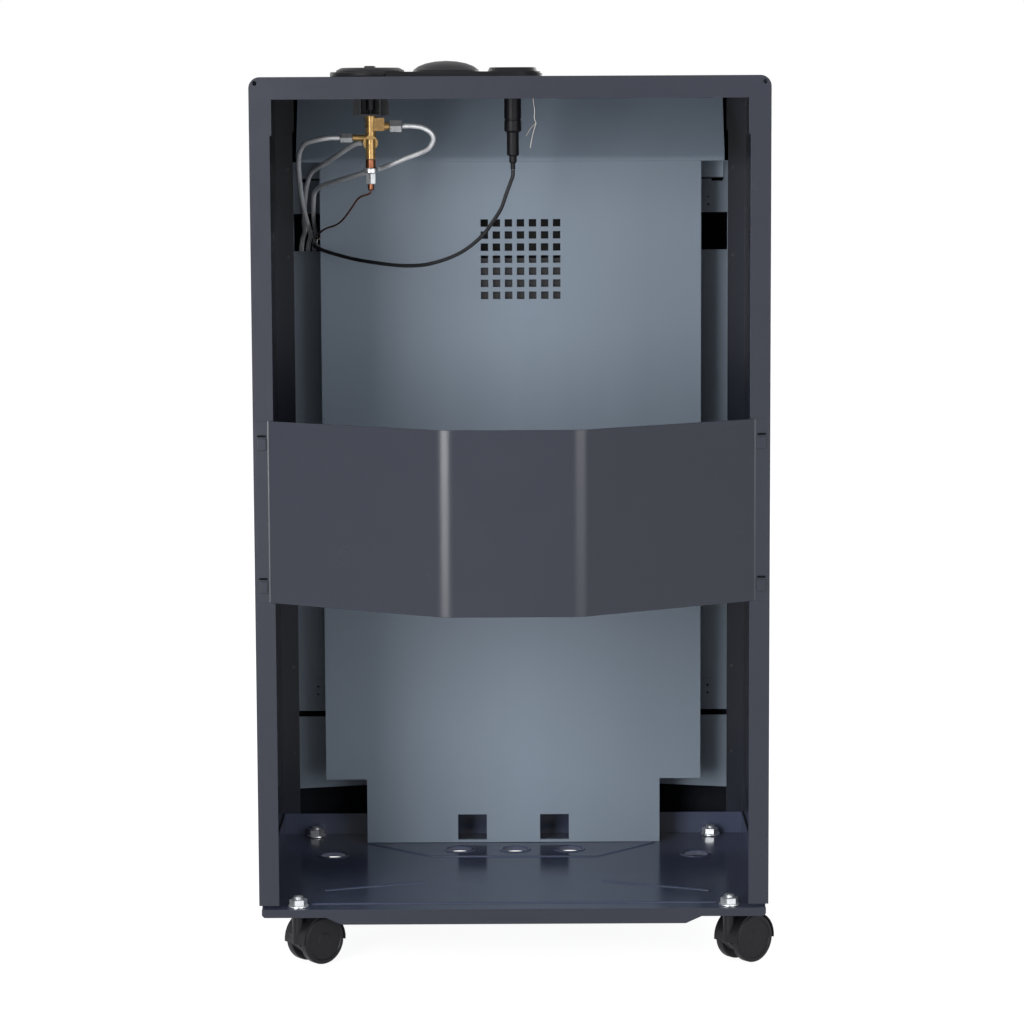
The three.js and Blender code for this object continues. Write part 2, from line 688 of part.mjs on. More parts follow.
// A sheet bowed forward in plan between the cabinet's front flanges.
function lowerFrontPanel() {
  const wall = FASCIA_WALL;
  const low = CASE_FOOT;
  const foot = at(FASCIA_REAR);
  const tip = at(CASE_DEPTH + FRONT_PANEL_BULGE);
  const half = FASCIA_HALF;
  const edge = Math.sqrt(FRONT_PANEL_EDGE);
  const bow = (inset) => {
    const line = [];
    for (let i = 0; i <= FRONT_PANEL_STEPS; i++) {
      const t = (2 * i) / FRONT_PANEL_STEPS - 1;
      const share = (Math.sqrt(1 - (1 - FRONT_PANEL_EDGE) * t * t) - edge) / (1 - edge);
      line.push([t * (half - inset), foot + (tip - foot) * share + inset]);
    }
    return line;
  };
  const skin = plateXY(outline([...bow(0), [half, foot], [-half, foot]]), low, FRONT_PANEL_HIGH);
  const hollow = [...bow(wall), [half - wall, foot + 2 * PAST], [-half + wall, foot + 2 * PAST]];
  const inside = plateXY(outline(hollow), low + wall, FRONT_PANEL_HIGH - wall);
  return cut(skin, inside);
}

// A shallow four-sided funnel from the burner's rim out to the opening in the surround.
function reflector() {
  const start = BURNER_RIM_DEPTH + REFLECTOR_START;
  const end = FASCIA_FACE - FASCIA_WALL - GAP;
  const narrow = [BURNER_RIM_HALF + REFLECTOR_CLEAR, BURNER_RIM_HEIGHT / 2 + REFLECTOR_CLEAR];
  const wide = [MOUTH_HALF, MOUTH_HEIGHT / 2];
  const rim = REFLECTOR_RIM;
  const outer = funnel(narrow, wide, start, end, SHEET);
  const flange = block(
    -wide[0] - rim,
    wide[0] + rim,
    end - SHEET,
    end,
    BURNER_Z - wide[1] - rim,
    BURNER_Z + wide[1] + rim,
  );
  const inner = funnel(narrow, wide, start - 0.01, end + 0.01, 0);
  const window = block(
    BURNER_RIM_HALF - PAST,
    MOUTH_HALF + SHEET + PAST,
    start - PAST,
    end - 3 * SHEET,
    PILOT_Z - PILOT_WINDOW,
    PILOT_Z + PILOT_WINDOW,
  );
  return cut(join(outer, flange), inner, window);
}

// A solid frustum between two rectangles given by half width and half height, grown by a wall.
function funnel(narrow, wide, start, end, wall) {
  const corners = [
    [-1, -1],
    [1, -1],
    [1, 1],
    [-1, 1],
  ];
  const ring = (size, depth) =>
    corners.map(([u, v]) => [u * (size[0] + wall), at(depth), BURNER_Z + v * (size[1] + wall)]).flat();
  const g = new THREE.BufferGeometry();
  const position = new Float32Array([...ring(narrow, start), ...ring(wide, end)]);
  g.setAttribute("position", new THREE.BufferAttribute(position, 3));
  const faces = [0, 2, 1, 0, 3, 2, 4, 5, 6, 4, 6, 7];
  for (let i = 0; i < 4; i++) {
    const next = (i + 1) % 4;
    faces.push(i, next, next + 4, i, next + 4, i + 4);
  }
  g.setIndex(faces);
  return g;
}

function burnerBox() {
  const half = BURNER_BOX_HALF;
  const rise = BURNER_BOX_HEIGHT / 2;
  const rim = BURNER_RIM_DEPTH - SHEET;
  const body = block(-half, half, BURNER_BOX_BACK, BURNER_RIM_DEPTH, BURNER_Z - rise, BURNER_Z + rise);
  const flange = block(
    -BURNER_RIM_HALF,
    BURNER_RIM_HALF,
    rim,
    BURNER_RIM_DEPTH,
    BURNER_Z - BURNER_RIM_HEIGHT / 2,
    BURNER_Z + BURNER_RIM_HEIGHT / 2,
  );
  const chambers = burnerColumns().map((x) => {
    const inner = PLAQUE_WIDTH / 2 - CHAMBER_INSET;
    return block(
      Math.max(x - inner, -half + SHEET),
      Math.min(x + inner, half - SHEET),
      BURNER_BOX_BACK + SHEET,
      BURNER_RIM_DEPTH + PAST,
      BURNER_Z - rise + SHEET,
      BURNER_Z + rise - SHEET,
    );
  });
  return cut(join(body, flange), ...chambers);
}

function burnerColumns() {
  const columns = [];
  for (let i = 0; i < PLAQUE_COUNT; i++) {
    columns.push((i - (PLAQUE_COUNT - 1) / 2) * PLAQUE_PITCH);
  }
  return columns;
}

function plaque(x) {
  const half = PLAQUE_WIDTH / 2;
  const rise = PLAQUE_HEIGHT / 2;
  return block(x - half, x + half, PLAQUE_DEPTH, PLAQUE_FACE, BURNER_Z - rise, BURNER_Z + rise);
}

function plaqueFrame() {
  const wall = SHEET;
  const half = BURNER_RIM_HALF;
  const rise = BURNER_RIM_HEIGHT / 2;
  const rear = PLAQUE_DEPTH;
  const face = PLAQUE_FACE + GAP;
  const outer = block(-half, half, rear, face + wall, BURNER_Z - rise, BURNER_Z + rise);
  const [low, high] = [BURNER_Z - rise + wall, BURNER_Z + rise - wall];
  const inner = block(-half + wall, half - wall, rear - PAST, face, low, high);
  const windows = burnerColumns().map((x) => {
    const w = PLAQUE_WIDTH / 2 - FRAME_BAR;
    const h = PLAQUE_HEIGHT / 2 - FRAME_BAR;
    return block(x - w, x + w, face - PAST, face + wall + PAST, BURNER_Z - h, BURNER_Z + h);
  });
  return cut(outer, inner, ...windows);
}

// A wire loop round the opening with bowed upright wires and level bars.
function wireGuard() {
  const x = MOUTH_HALF + GUARD_MARGIN;
  const rise = MOUTH_HEIGHT / 2 + GUARD_MARGIN;
  const pieces = [];
  const low = BURNER_Z - rise;
  const high = BURNER_Z + rise;
  for (const z of [low, high]) {
    pieces.push(rodX(-x - GUARD_ROD_R, x + GUARD_ROD_R, GUARD_DEPTH, z, GUARD_ROD_R, 6));
  }
  for (const side of [-1, 1]) {
    pieces.push(post(side * x, GUARD_DEPTH, low, high, GUARD_ROD_R, 6));
  }
  const front = GUARD_DEPTH + GUARD_BOW;
  const lean = GUARD_LEAN;
  for (let i = 0; i < GUARD_WIRES; i++) {
    const wx = ((i + 0.5) / GUARD_WIRES - 0.5) * 2 * x;
    pieces.push(post(wx, front, low + lean, high - lean, GUARD_WIRE_R, WIRE_SIDES));
    pieces.push(leaningWire(wx, GUARD_DEPTH, low, front, low + lean));
    pieces.push(leaningWire(wx, GUARD_DEPTH, high, front, high - lean));
  }
  for (let i = 0; i < GUARD_BARS; i++) {
    const z = low + lean + ((i + 0.5) / GUARD_BARS) * (high - low - 2 * lean);
    const reach = front - GUARD_WIRE_R;
    const end = x - GUARD_ROD_R * 3;
    pieces.push(rodX(-end, end, reach, z, GUARD_WIRE_R, WIRE_SIDES));
    for (const side of [-1, 1]) {
      pieces.push(levelWire(side * x, GUARD_DEPTH, side * end, reach, z));
    }
  }
  return join(...pieces);
}

function wireBetween(from, to) {
  const a = new THREE.Vector3(...from);
  const b = new THREE.Vector3(...to);
  const along = b.clone().sub(a);
  const length = along.length() + GUARD_WIRE_R;
  const g = new THREE.CylinderGeometry(GUARD_WIRE_R, GUARD_WIRE_R, length, WIRE_SIDES);
  const turn = new THREE.Quaternion().setFromUnitVectors(new THREE.Vector3(0, 1, 0), along.normalize());
  const middle = a.add(b).multiplyScalar(0.5);
  return g.applyQuaternion(turn).translate(middle.x, middle.y, middle.z);
}

function leaningWire(x, d0, z0, d1, z1) {
  return wireBetween([x, at(d0), z0], [x, at(d1), z1]);
}

function levelWire(x0, d0, x1, d1, z) {
  return wireBetween([x0, at(d0), z], [x1, at(d1), z]);
}

// The pilot's foot against the plaque frame, with an arm and a rod for each of its three parts.
function pilotBurner() {
  const [wide, deep, tall] = PILOT_SIZE;
  const x = BURNER_RIM_HALF + GAP;
  const start = BURNER_RIM_DEPTH + PILOT_START;
  const end = start + deep;
  const body = block(x, x + wide, start, end, PILOT_Z - tall / 2, PILOT_Z + tall / 2);
  const depth = PLAQUE_FACE + PILOT_REACH;
  const pieces = [body];
  for (const { rise, r, length, arm } of PILOT_RODS) {
    const z = PILOT_Z + rise;
    const back = x + arm;
    pieces.push(rodX(back - length, back, depth, z, r, 8));
    pieces.push(block(back - arm / 2, back + arm / 2, end - PAST, depth + r / 2, z - arm / 2, z + arm / 2));
  }
  return join(...pieces);
}

// ---- retaining band ----
// A round bend between two straight stretches, as points from one tangent to the other.
function fillet(before, corner, after, r, steps) {
  const a = new THREE.Vector2(...before).sub(new THREE.Vector2(...corner)).normalize();
  const b = new THREE.Vector2(...after).sub(new THREE.Vector2(...corner)).normalize();
  const half = Math.acos(a.dot(b)) / 2;
  const tangent = r / Math.tan(half);
  const middle = a.clone().add(b).normalize();
  const centre = new THREE.Vector2(...corner).addScaledVector(middle, r / Math.sin(half));
  const start = new THREE.Vector2(...corner).addScaledVector(a, tangent).sub(centre);
  const end = new THREE.Vector2(...corner).addScaledVector(b, tangent).sub(centre);
  const from = start.angle();
  let sweep = end.angle() - from;
  sweep -= FULL * Math.round(sweep / FULL);
  const points = [];
  for (let i = 0; i <= steps; i++) {
    const angle = from + (sweep * i) / steps;
    points.push([centre.x + r * Math.cos(angle), centre.y + r * Math.sin(angle)]);
  }
  return points;
}

function bandLine() {
  const face = at(-GAP);
  const crest = at(-BAND_BULGE) - SHEET;
  const ear = BAND_FOOT_HALF + BAND_EAR;
  const right = [
    ...fillet([0, crest], [BAND_BEND_HALF, crest], [BAND_FOOT_HALF, face], BAND_BEND_R, 6),
    ...fillet([BAND_BEND_HALF, crest], [BAND_FOOT_HALF, face], [ear, face], BAND_FOOT_R, 3),
    [ear, face],
  ];
  const left = right.map(([x, y]) => [-x, y]).reverse();
  return [...left, ...right];
}

function retainingBand() {
  const line = bandLine();
  const top = BAND_LOW + BAND_HEIGHT;
  const outer = offsetLine(line, SHEET);
  const strip = plateXY(outline([...line, ...outer.reverse()]), BAND_LOW, top);
  const hooks = [];
  const slots = [];
  for (const side of [-1, 1]) {
    for (const z of HOOK_Z) {
      const x0 = side * HOOK_X - HOOK_WIDTH / 2;
      const x1 = side * HOOK_X + HOOK_WIDTH / 2;
      const behind = SHEET + HOOK_CLEAR;
      hooks.push(block(x0, x1, -GAP - SHEET / 2, behind + SHEET, z - HOOK_NECK, z));
      hooks.push(block(x0, x1, behind, behind + SHEET, z - HOOK_NECK - HOOK_DROP, z));
      slots.push(block(x0, x1, -GAP - SHEET - PAST, PAST, z + HOOK_CLEAR, z + HOOK_NECK));
    }
    slots.push(rodY(side * HOOK_X, -GAP - SHEET - PAST, PAST, BAND_LOW + BAND_HEIGHT / 2, TAB_HOLE_R, 8));
  }
  return cut(join(strip, ...hooks), ...slots);
}

// ---- controls ----
// A tapered plate with round ends: large round the knob, small round the button.
function bezelShape(grow) {
  const s = new THREE.Shape();
  const y = at(BEZEL_DEPTH);
  const big = BEZEL_BIG_R + grow;
  const small = BEZEL_SMALL_R + grow;
  const lean = Math.acos((big - small) / (KNOB_X - BUTTON_X));
  s.absarc(KNOB_X, y, big, -Math.PI + lean, Math.PI - lean);
  s.absarc(BUTTON_X, y, small, Math.PI - lean, Math.PI + lean);
  return s;
}

function controlBezel() {
  const plate = plateXY(bezelShape(0), BEZEL_FOOT, BEZEL_TOP - BEZEL_CHAMFER, 10);
  const step = plateXY(bezelShape(-BEZEL_CHAMFER), BEZEL_FOOT, BEZEL_TOP, 10);
  const ringTop = BEZEL_TOP + BUTTON_RING_HEIGHT;
  const ringTopR = BUTTON_RING_R - BUTTON_RING_TAPER;
  const ring = post(BUTTON_X, BEZEL_DEPTH, BEZEL_FOOT, ringTop, BUTTON_RING_R, 24, ringTopR);
  const under = BEZEL_FOOT - PAST;
  const over = BEZEL_TOP + PAST;
  const collar = post(KNOB_X, BEZEL_DEPTH, under, over, BEZEL_BIG_R + GAP, COLLAR_SIDES);
  const reach = BEZEL_BIG_R + PAST;
  const flanks = block(BEZEL_END, KNOB_X + reach, BEZEL_DEPTH - reach, BEZEL_DEPTH + reach, under, over);
  const buttonWell = post(BUTTON_X, BEZEL_DEPTH, under, ringTop + PAST, BUTTON_R + RUN_CLEAR, 20);
  return cut(join(plate, step, ring, domedIsland()), collar, flanks, buttonWell);
}

// The ring round the gas knob.
function knobCollar() {
  const ring = post(KNOB_X, BEZEL_DEPTH, BEZEL_FOOT, BEZEL_TOP, BEZEL_BIG_R, COLLAR_SIDES);
  const wellR = KNOB_R + KNOB_WELL_CLEAR;
  const well = post(KNOB_X, BEZEL_DEPTH, BEZEL_FOOT - PAST, BEZEL_TOP + PAST, wellR, COLLAR_SIDES);
  return cut(ring, well);
}

// A shallow dome between the two controls.
function domedIsland() {
  const profile = [new THREE.Vector2(0, 0), new THREE.Vector2(DOME_R, 0)];
  for (let i = 0; i < DOME_STEPS; i++) {
    const a = (i / DOME_STEPS) * (Math.PI / 2);
    profile.push(new THREE.Vector2(DOME_R * Math.cos(a), BEZEL_THICK / 2 + DOME_HEIGHT * Math.sin(a)));
  }
  profile.push(new THREE.Vector2(0, BEZEL_THICK / 2 + DOME_HEIGHT));
  const g = new THREE.LatheGeometry(profile, 24).rotateX(Math.PI / 2);
  return g.translate(DOME_X, at(BEZEL_DEPTH), BEZEL_FOOT);
}

function gasKnob() {
  const foot = KNOB_FOOT;
  const top = KNOB_TOP;
  const skirt = post(KNOB_X, BEZEL_DEPTH, foot, top, KNOB_R, 28, KNOB_TOP_R);
  const [long, wide, high] = KNOB_GRIP;
  const grip = block(
    KNOB_X - wide / 2,
    KNOB_X + wide / 2,
    BEZEL_DEPTH - long / 2,
    BEZEL_DEPTH + long / 2,
    top - PAST,
    top + high,
  );
  const socket = post(KNOB_X, BEZEL_DEPTH, foot - PAST, top - KNOB_SKIN, SPINDLE_R + GAP, 16);
  return cut(join(skirt, grip), socket);
}

function valveSpindle() {
  const top = KNOB_TOP - KNOB_SKIN - GAP;
  const foot = SHELF_TOP + KNOB_PUSH + GAP;
  const sleeve = post(KNOB_X, BEZEL_DEPTH, foot, top, SPINDLE_R, 16);
  const tip = post(KNOB_X, BEZEL_DEPTH, VALVE_TOP - SPINDLE_DIP, foot + SPINDLE_LAP, SPINDLE_TIP_R, 12);
  return join(sleeve, tip);
}

// Hangs the valve under the lid: a top flange, an upright, a shelf and two side cheeks.
function valveBracket() {
  const half = BRACKET_WIDTH / 2;
  const back = BEZEL_DEPTH + BRACKET_SETBACK;
  const front = back + SHEET;
  const high = LID_UNDER - GAP;
  const low = SHELF_TOP - SHEET;
  const [left, right] = [KNOB_X - half, KNOB_X + half];
  const topFlange = block(left, right, back, back + BRACKET_FLANGE, high - SHEET, high);
  const upright = block(left, right, back, front, low, high);
  const edge = BRACKET_SHELF_HALF;
  const shelf = block(KNOB_X - edge, KNOB_X + edge, BEZEL_DEPTH - BRACKET_SHELF_REACH, front, low, SHELF_TOP);
  const cheeks = [-edge, edge - SHEET].map((shift) => {
    const x = KNOB_X + shift;
    return block(x, x + SHEET, BEZEL_DEPTH - BRACKET_CHEEK_REACH, front, low, high - BRACKET_CHEEK_DROP);
  });
  const hole = post(KNOB_X, BEZEL_DEPTH, low - PAST, SHELF_TOP + PAST, SPINDLE_TIP_R + RUN_CLEAR, 12);
  return cut(join(topFlange, upright, shelf, ...cheeks), hole);
}

function valveBody() {
  const front = BEZEL_DEPTH - MAGNET_SHIFT;
  const barrel = post(KNOB_X, BEZEL_DEPTH, PORT_Z - BARREL_LAP, VALVE_TOP, BARREL_R, 16);
  const [rimHeight, rimStep] = VALVE_RIM;
  const rim = post(KNOB_X, BEZEL_DEPTH, VALVE_TOP - rimHeight, VALVE_TOP, BARREL_R + rimStep, 16);
  const port = rodY(KNOB_X, front, front + PORT_LENGTH, PORT_Z, PORT_R, 16);
  const magnet = post(KNOB_X, front, MAGNET_FOOT, BARREL_FOOT, MAGNET_R, 14);
  const [ax0, ax1, ax2, az0, az1] = RIGHT_ARM;
  const arm = block(ax0, ax1, BEZEL_DEPTH - ARM_HALF, BEZEL_DEPTH + ARM_HALF, az0, az1);
  const nose = rodX(ax1 + PAST, ax2, BEZEL_DEPTH, RIGHT_NUT[2], NOSE_R, 12);
  const left = rodX(KNOB_X, LEFT_ARM_END, BEZEL_DEPTH, LEFT_NUT[2], ARM_R, 12);
  const inlet = inletNozzle();
  const boreR = SPINDLE_TIP_R + RUN_CLEAR;
  const bore = post(KNOB_X, BEZEL_DEPTH, VALVE_TOP - VALVE_BORE, VALVE_TOP + PAST, boreR, 12);
  return cut(join(barrel, rim, port, magnet, arm, nose, left, ...inlet), bore);
}

// A barbed gas inlet that points forward from the valve, hidden behind it in the photograph.
function inletNozzle() {
  const z = PORT_Z + INLET_RISE;
  const end = BEZEL_DEPTH + INLET_LENGTH;
  const pieces = [rodY(KNOB_X, BEZEL_DEPTH, end, z, INLET_R, 10)];
  const [length, step] = BARB;
  for (let i = 0; i < BARB_COUNT; i++) {
    const d = end - length - PAST - BARB_PITCH * i;
    pieces.push(rodY(KNOB_X, d, d + length, z, INLET_R + step, 10));
  }
  return pieces;
}

function magnetNut() {
  const front = BEZEL_DEPTH - MAGNET_SHIFT;
  const collar = post(KNOB_X, front, COPPER_FOOT - PAST, MAGNET_FOOT - GAP, MAGNET_R, 14);
  const nut = hexPost(KNOB_X, front, MAGNET_NUT_FOOT, COPPER_FOOT, MAGNET_NUT_FLAT);
  const ferrule = post(KNOB_X, front, FERRULE_FOOT, MAGNET_NUT_FOOT + PAST, FERRULE_R, 10);
  return join(collar, nut, ferrule);
}

function unionNut([x0, x1, z], flat) {
  return rodX(x0, x1, BEZEL_DEPTH, z, flat / Math.sqrt(3), 6);
}

function igniterBody() {
  const high = BEZEL_FOOT;
  const [tipR, tipHeight] = IGNITER_TIP;
  const tipTop = IGNITER_FOOT + tipHeight;
  const body = post(BUTTON_X, BEZEL_DEPTH, IGNITER_WAIST, high, IGNITER_R, 18);
  const waist = post(BUTTON_X, BEZEL_DEPTH, IGNITER_NECK, IGNITER_WAIST + PAST, IGNITER_WAIST_R, 16);
  const neck = post(BUTTON_X, BEZEL_DEPTH, tipTop - PAST, IGNITER_NECK + PAST, IGNITER_NECK_R, 12);
  const tip = post(BUTTON_X, BEZEL_DEPTH, IGNITER_FOOT, tipTop, tipR, 10);
  const floor = STEM_FOOT - BUTTON_TRAVEL - BORE_CLEAR;
  const bore = post(BUTTON_X, BEZEL_DEPTH, floor, high + PAST, BUTTON_STEM_R + RUN_CLEAR, 14);
  return cut(join(body, waist, neck, tip), bore);
}

function igniterNut() {
  const high = LID_UNDER - GAP;
  const nut = hexPost(BUTTON_X, BEZEL_DEPTH, high - IGNITER_NUT_HEIGHT, high, IGNITER_NUT_FLAT);
  const low = high - IGNITER_NUT_HEIGHT - PAST;
  return cut(nut, post(BUTTON_X, BEZEL_DEPTH, low, high + PAST, IGNITER_R + GAP, 18));
}

function igniterButton() {
  const top = BEZEL_TOP + BUTTON_RING_HEIGHT;
  const foot = BEZEL_FOOT + BUTTON_TRAVEL + RUN_CLEAR;
  const cap = post(BUTTON_X, BEZEL_DEPTH, foot, top, BUTTON_R, 20);
  const stem = post(BUTTON_X, BEZEL_DEPTH, STEM_FOOT, foot + PAST, BUTTON_STEM_R, 14);
  return join(cap, stem);
}

// ---- pipes and leads: X, depth and Z of hand-chosen points ----
const PIPE_ROUTES = {
  burner_pipe_right: [
    [91.2, 150, 690],
    [84, 150, 690],
    [74, 150, 688.5],
    [67, 151, 684],
    [65, 153, 679],
    [69, 157, 671],
    [77, 162, 667],
    [90, 168, 662],
    [110, 177, 654],
    [128, 190, 649],
    [148, 207, 643],
    [163, 225, 638],
    [171, 243, 632],
    [173, 257, 622],
    [174, 277, 607],
    [174, 296, 594],
    [174.5, 304, 588],
    [176, 311, 572],
    [170, 312, 548],
    [158, 312, 540.5],
    [150, 312, 540],
    [140.3, 312, 540],
  ],
  burner_pipe_left: [
    [144.2, 150, 680.3],
    [152, 150, 680.3],
    [161, 151, 679],
    [173, 158, 676],
    [178, 167, 671],
    [181, 180, 662],
    [182, 220, 635],
    [181, 250, 617],
    [179, 275, 602],
    [178, 296, 592],
    [180.5, 305, 583],
    [182, 312, 560],
    [176, 312.5, 532],
    [162, 312, 522.5],
    [150, 312, 522],
    [140.3, 312, 522],
  ],
  burner_pipe_rear: [
    [124.8, 152, 676],
    [132, 158, 674.5],
    [146, 173, 666],
    [161, 197, 657],
    [173, 222, 649],
    [178, 243, 637],
    [181, 262, 621],
    [183, 282, 606],
    [183.5, 296, 596],
    [186.5, 306, 586],
    [188, 312, 560],
    [184, 313, 520],
    [170, 312.5, 505.5],
    [152, 312, 504],
    [140.3, 312, 504],
  ],
};
const THERMOCOUPLE_ROUTE = [
  [118, 145, 635.6],
  [119, 145.5, 633.5],
  [128, 150, 630],
  [135, 158, 621],
  [142, 168, 612],
  [149, 185, 606],
  [160, 215, 601.5],
  [168, 240, 596],
  [171, 255, 593],
  [171.5, 280, 590.5],
  [170.5, 301, 589],
  [165, 309, 586],
  [160, 316, 580],
  [158, 320, 578],
  [158, 321.7, 578],
];
const IGNITER_LEAD_ROUTE = [
  [-2.2, 150, 652.7],
  [-2.1, 150, 648],
  [0, 150, 642],
  [4, 151, 631],
  [8, 153, 620],
  [15, 156, 609],
  [24, 160, 597],
  [43, 168, 582],
  [70, 180, 572],
  [92, 192, 570],
  [118, 208, 572],
  [138, 228, 574.5],
  [152, 240, 577.5],
  [163, 248, 580.5],
  [171, 255, 583.5],
  [173.5, 268, 584.5],
  [174, 292, 583.5],
  [172, 302, 582.5],
  [165.5, 309.5, 577],
  [160, 315.5, 571],
  [158, 319, 568],
  [158, 321.7, 568],
];

// ---- castors ----
const CASTORS = [
  { name: "rear_left", x: CASTOR_X, depth: CASTOR_REAR, angle: CASTOR_ANGLE },
  { name: "rear_right", x: -CASTOR_X, depth: CASTOR_REAR, angle: CASTOR_ANGLE },
  { name: "front_left", x: CASTOR_X, depth: CASTOR_FRONT, angle: 540 - CASTOR_ANGLE },
  { name: "front_right", x: -CASTOR_X, depth: CASTOR_FRONT, angle: 540 - CASTOR_ANGLE },
];

// In a castor's own group +X points from the stem to the axle and Y lies along the axle.
function castorHousing() {
  const half = CASTOR_WIDTH / 2 - GAP;
  const arch = new THREE.Shape();
  const low = -HOOD_DIP;
  arch.absarc(0, 0, HOOD_R, low, Math.PI - low);
  arch.absarc(0, 0, HOOD_R - HOOD_WALL, Math.PI - low, low, true);
  const hood = alongAxle(arch, half, 9);
  const webShape = new THREE.Shape();
  webShape.absarc(0, 0, HOOD_R - GAP, low, Math.PI - low);
  webShape.lineTo(...WEB_REAR);
  webShape.lineTo(...WEB_FRONT);
  const web = alongAxle(webShape, CASTOR_WEB / 2, 9);
  const bossTop = FLOOR_UNDER - GAP - COLLAR_THICK - GAP;
  const boss = uprightAt(-CASTOR_TRAIL, BOSS_FOOT, bossTop, CASTOR_WEB / 2, 14);
  const axle = new THREE.CylinderGeometry(AXLE_R, AXLE_R, AXLE_LENGTH, 12);
  axle.translate(CASTOR_TRAIL, 0, WHEEL_R);
  const boreFloor = BOSS_FOOT + BOSS_FLOOR;
  const bore = uprightAt(-CASTOR_TRAIL, boreFloor, bossTop + PAST, STEM_R + SWIVEL_CLEAR, 12);
  return cut(join(hood, web, boss, axle), bore);
}

// An outline round the axle, extruded both ways along it.
function alongAxle(shape, half, segments) {
  const g = extruded(shape, 2 * half, segments).rotateX(Math.PI / 2);
  return g.translate(CASTOR_TRAIL, half, WHEEL_R);
}

// An upright cylinder placed from the axle, in the castor's own group.
function uprightAt(fromAxle, z0, z1, r, sides) {
  const g = new THREE.CylinderGeometry(r, r, z1 - z0, sides).rotateX(Math.PI / 2);
  return g.translate(CASTOR_TRAIL + fromAxle, 0, (z0 + z1) / 2);
}

// A wheel with a blind bore on its inner face; side is the way its outer face looks along Y.
function castorWheel(side) {
  const inner = CASTOR_WEB / 2 + WHEEL_GAP;
  const bore = AXLE_R + GAP;
  const depth = AXLE_LENGTH / 2 + GAP - inner;
  const profile = [
    [0, depth],
    [bore, depth],
    [bore, 0],
    [WHEEL_R, 0],
    [WHEEL_R, WHEEL_THICK - TREAD_ROUND],
    [WHEEL_R - TREAD_ROUND, WHEEL_THICK],
    [0, WHEEL_THICK],
  ];
  const g = new THREE.LatheGeometry(
    profile.map(([r, y]) => new THREE.Vector2(r, y)),
    22,
  );
  g.translate(0, inner, 0);
  if (side < 0) {
    g.rotateX(Math.PI);
  }
  return g.translate(CASTOR_TRAIL, 0, WHEEL_R);
}

function castorStem() {
  const under = FLOOR_UNDER - GAP;
  const studTop = BASE_TOP + GAP + NUT_HEIGHT + STUD_OVER;
  const pinFoot = BOSS_FOOT + BOSS_FLOOR + SWIVEL_CLEAR;
  const pin = uprightAt(-CASTOR_TRAIL, pinFoot, under - COLLAR_THICK / 2, STEM_R, 12);
  const collar = uprightAt(-CASTOR_TRAIL, under - COLLAR_THICK, under, COLLAR_R, 14);
  const stud = uprightAt(-CASTOR_TRAIL, under - COLLAR_THICK / 2, studTop, STUD_R, 10);
  return join(pin, collar, stud);
}

function castorNut() {
  const foot = BASE_TOP + GAP;
  const top = foot + NUT_HEIGHT;
  const flange = uprightAt(-CASTOR_TRAIL, foot, foot + NUT_FLANGE_THICK, NUT_FLANGE_R, 14);
  const hex = uprightAt(-CASTOR_TRAIL, foot, top, NUT_FLAT / Math.sqrt(3), 6);
  return cut(join(flange, hex), uprightAt(-CASTOR_TRAIL, foot - PAST, top + PAST, STUD_R + GAP, 10));
}

function addCastor({ name, x, depth, angle }) {
  const group = new THREE.Group();
  group.position.set(x, at(depth), 0);
  group.rotation.z = THREE.MathUtils.degToRad(angle);
  heater.add(group);
  place(`castor_stem_${name}`, castorStem(), BRIGHT_STEEL, group);
  place(`castor_nut_${name}`, castorNut(), BRIGHT_STEEL, group);
  place(`castor_housing_${name}`, castorHousing(), BLACK_PLASTIC, group);
  place(`castor_wheel_a_${name}`, castorWheel(1), BLACK_PLASTIC, group);
  place(`castor_wheel_b_${name}`, castorWheel(-1), BLACK_PLASTIC, group);
}

// ---- assembly ----
place("cabinet_wrapper", cabinetWrapper(), CASE_PAINT);
place("base_tray", baseTray(), CASE_PAINT);
place("heat_shield", heatShield(), SHIELD_STEEL);
place("deflector", deflector(), SHIELD_STEEL);
place("firebox_back_plate", backPlate(), SHIELD_STEEL);
place("lower_back_plate", lowerBackPlate(), SHIELD_STEEL);
place("front_surround", frontSurround(), CASE_PAINT);
place("lower_front_panel", lowerFrontPanel(), CASE_PAINT);
place("reflector", reflector(), BRIGHT_STEEL);
place("burner_box", burnerBox(), DARK_PAINT);
burnerColumns().forEach((x, i) => place(`ceramic_plaque_${i + 1}`, plaque(x), CERAMIC));
place("plaque_frame", plaqueFrame(), SHIELD_STEEL);
place("wire_guard", wireGuard(), BRIGHT_STEEL);
place("pilot_burner", pilotBurner(), BRIGHT_STEEL);
place("retaining_band", retainingBand(), CASE_PAINT);
place("control_bezel", controlBezel(), BLACK_PLASTIC);
place("knob_collar", knobCollar(), BLACK_PLASTIC);
place("gas_knob", gasKnob(), BLACK_PLASTIC);
place("valve_spindle", valveSpindle(), BLACK_PLASTIC);
place("valve_bracket", valveBracket(), DARK_PAINT);
place("valve_body", valveBody(), BRASS);
place("magnet_nut", magnetNut(), BRIGHT_STEEL);
place("outlet_nut_right", unionNut(RIGHT_NUT, RIGHT_NUT_FLAT), BRIGHT_STEEL);
place("outlet_nut_left", unionNut(LEFT_NUT, LEFT_NUT_FLAT), BRIGHT_STEEL);
for (const [name, route] of Object.entries(PIPE_ROUTES)) {
  place(name, tube(route, PIPE_R, 6, 32), ALUMINIUM);
}
place("thermocouple_lead", tube(THERMOCOUPLE_ROUTE, CAPILLARY_R, 6, 30), COPPER);
place("igniter_body", igniterBody(), BLACK_PLASTIC);
place("igniter_nut", igniterNut(), BRIGHT_STEEL);
place("igniter_button", igniterButton(), BLACK_PLASTIC);
place("igniter_lead", tube(IGNITER_LEAD_ROUTE, LEAD_R, 8, 36), RUBBER);
CASTORS.forEach(addCastor);

export default heater;
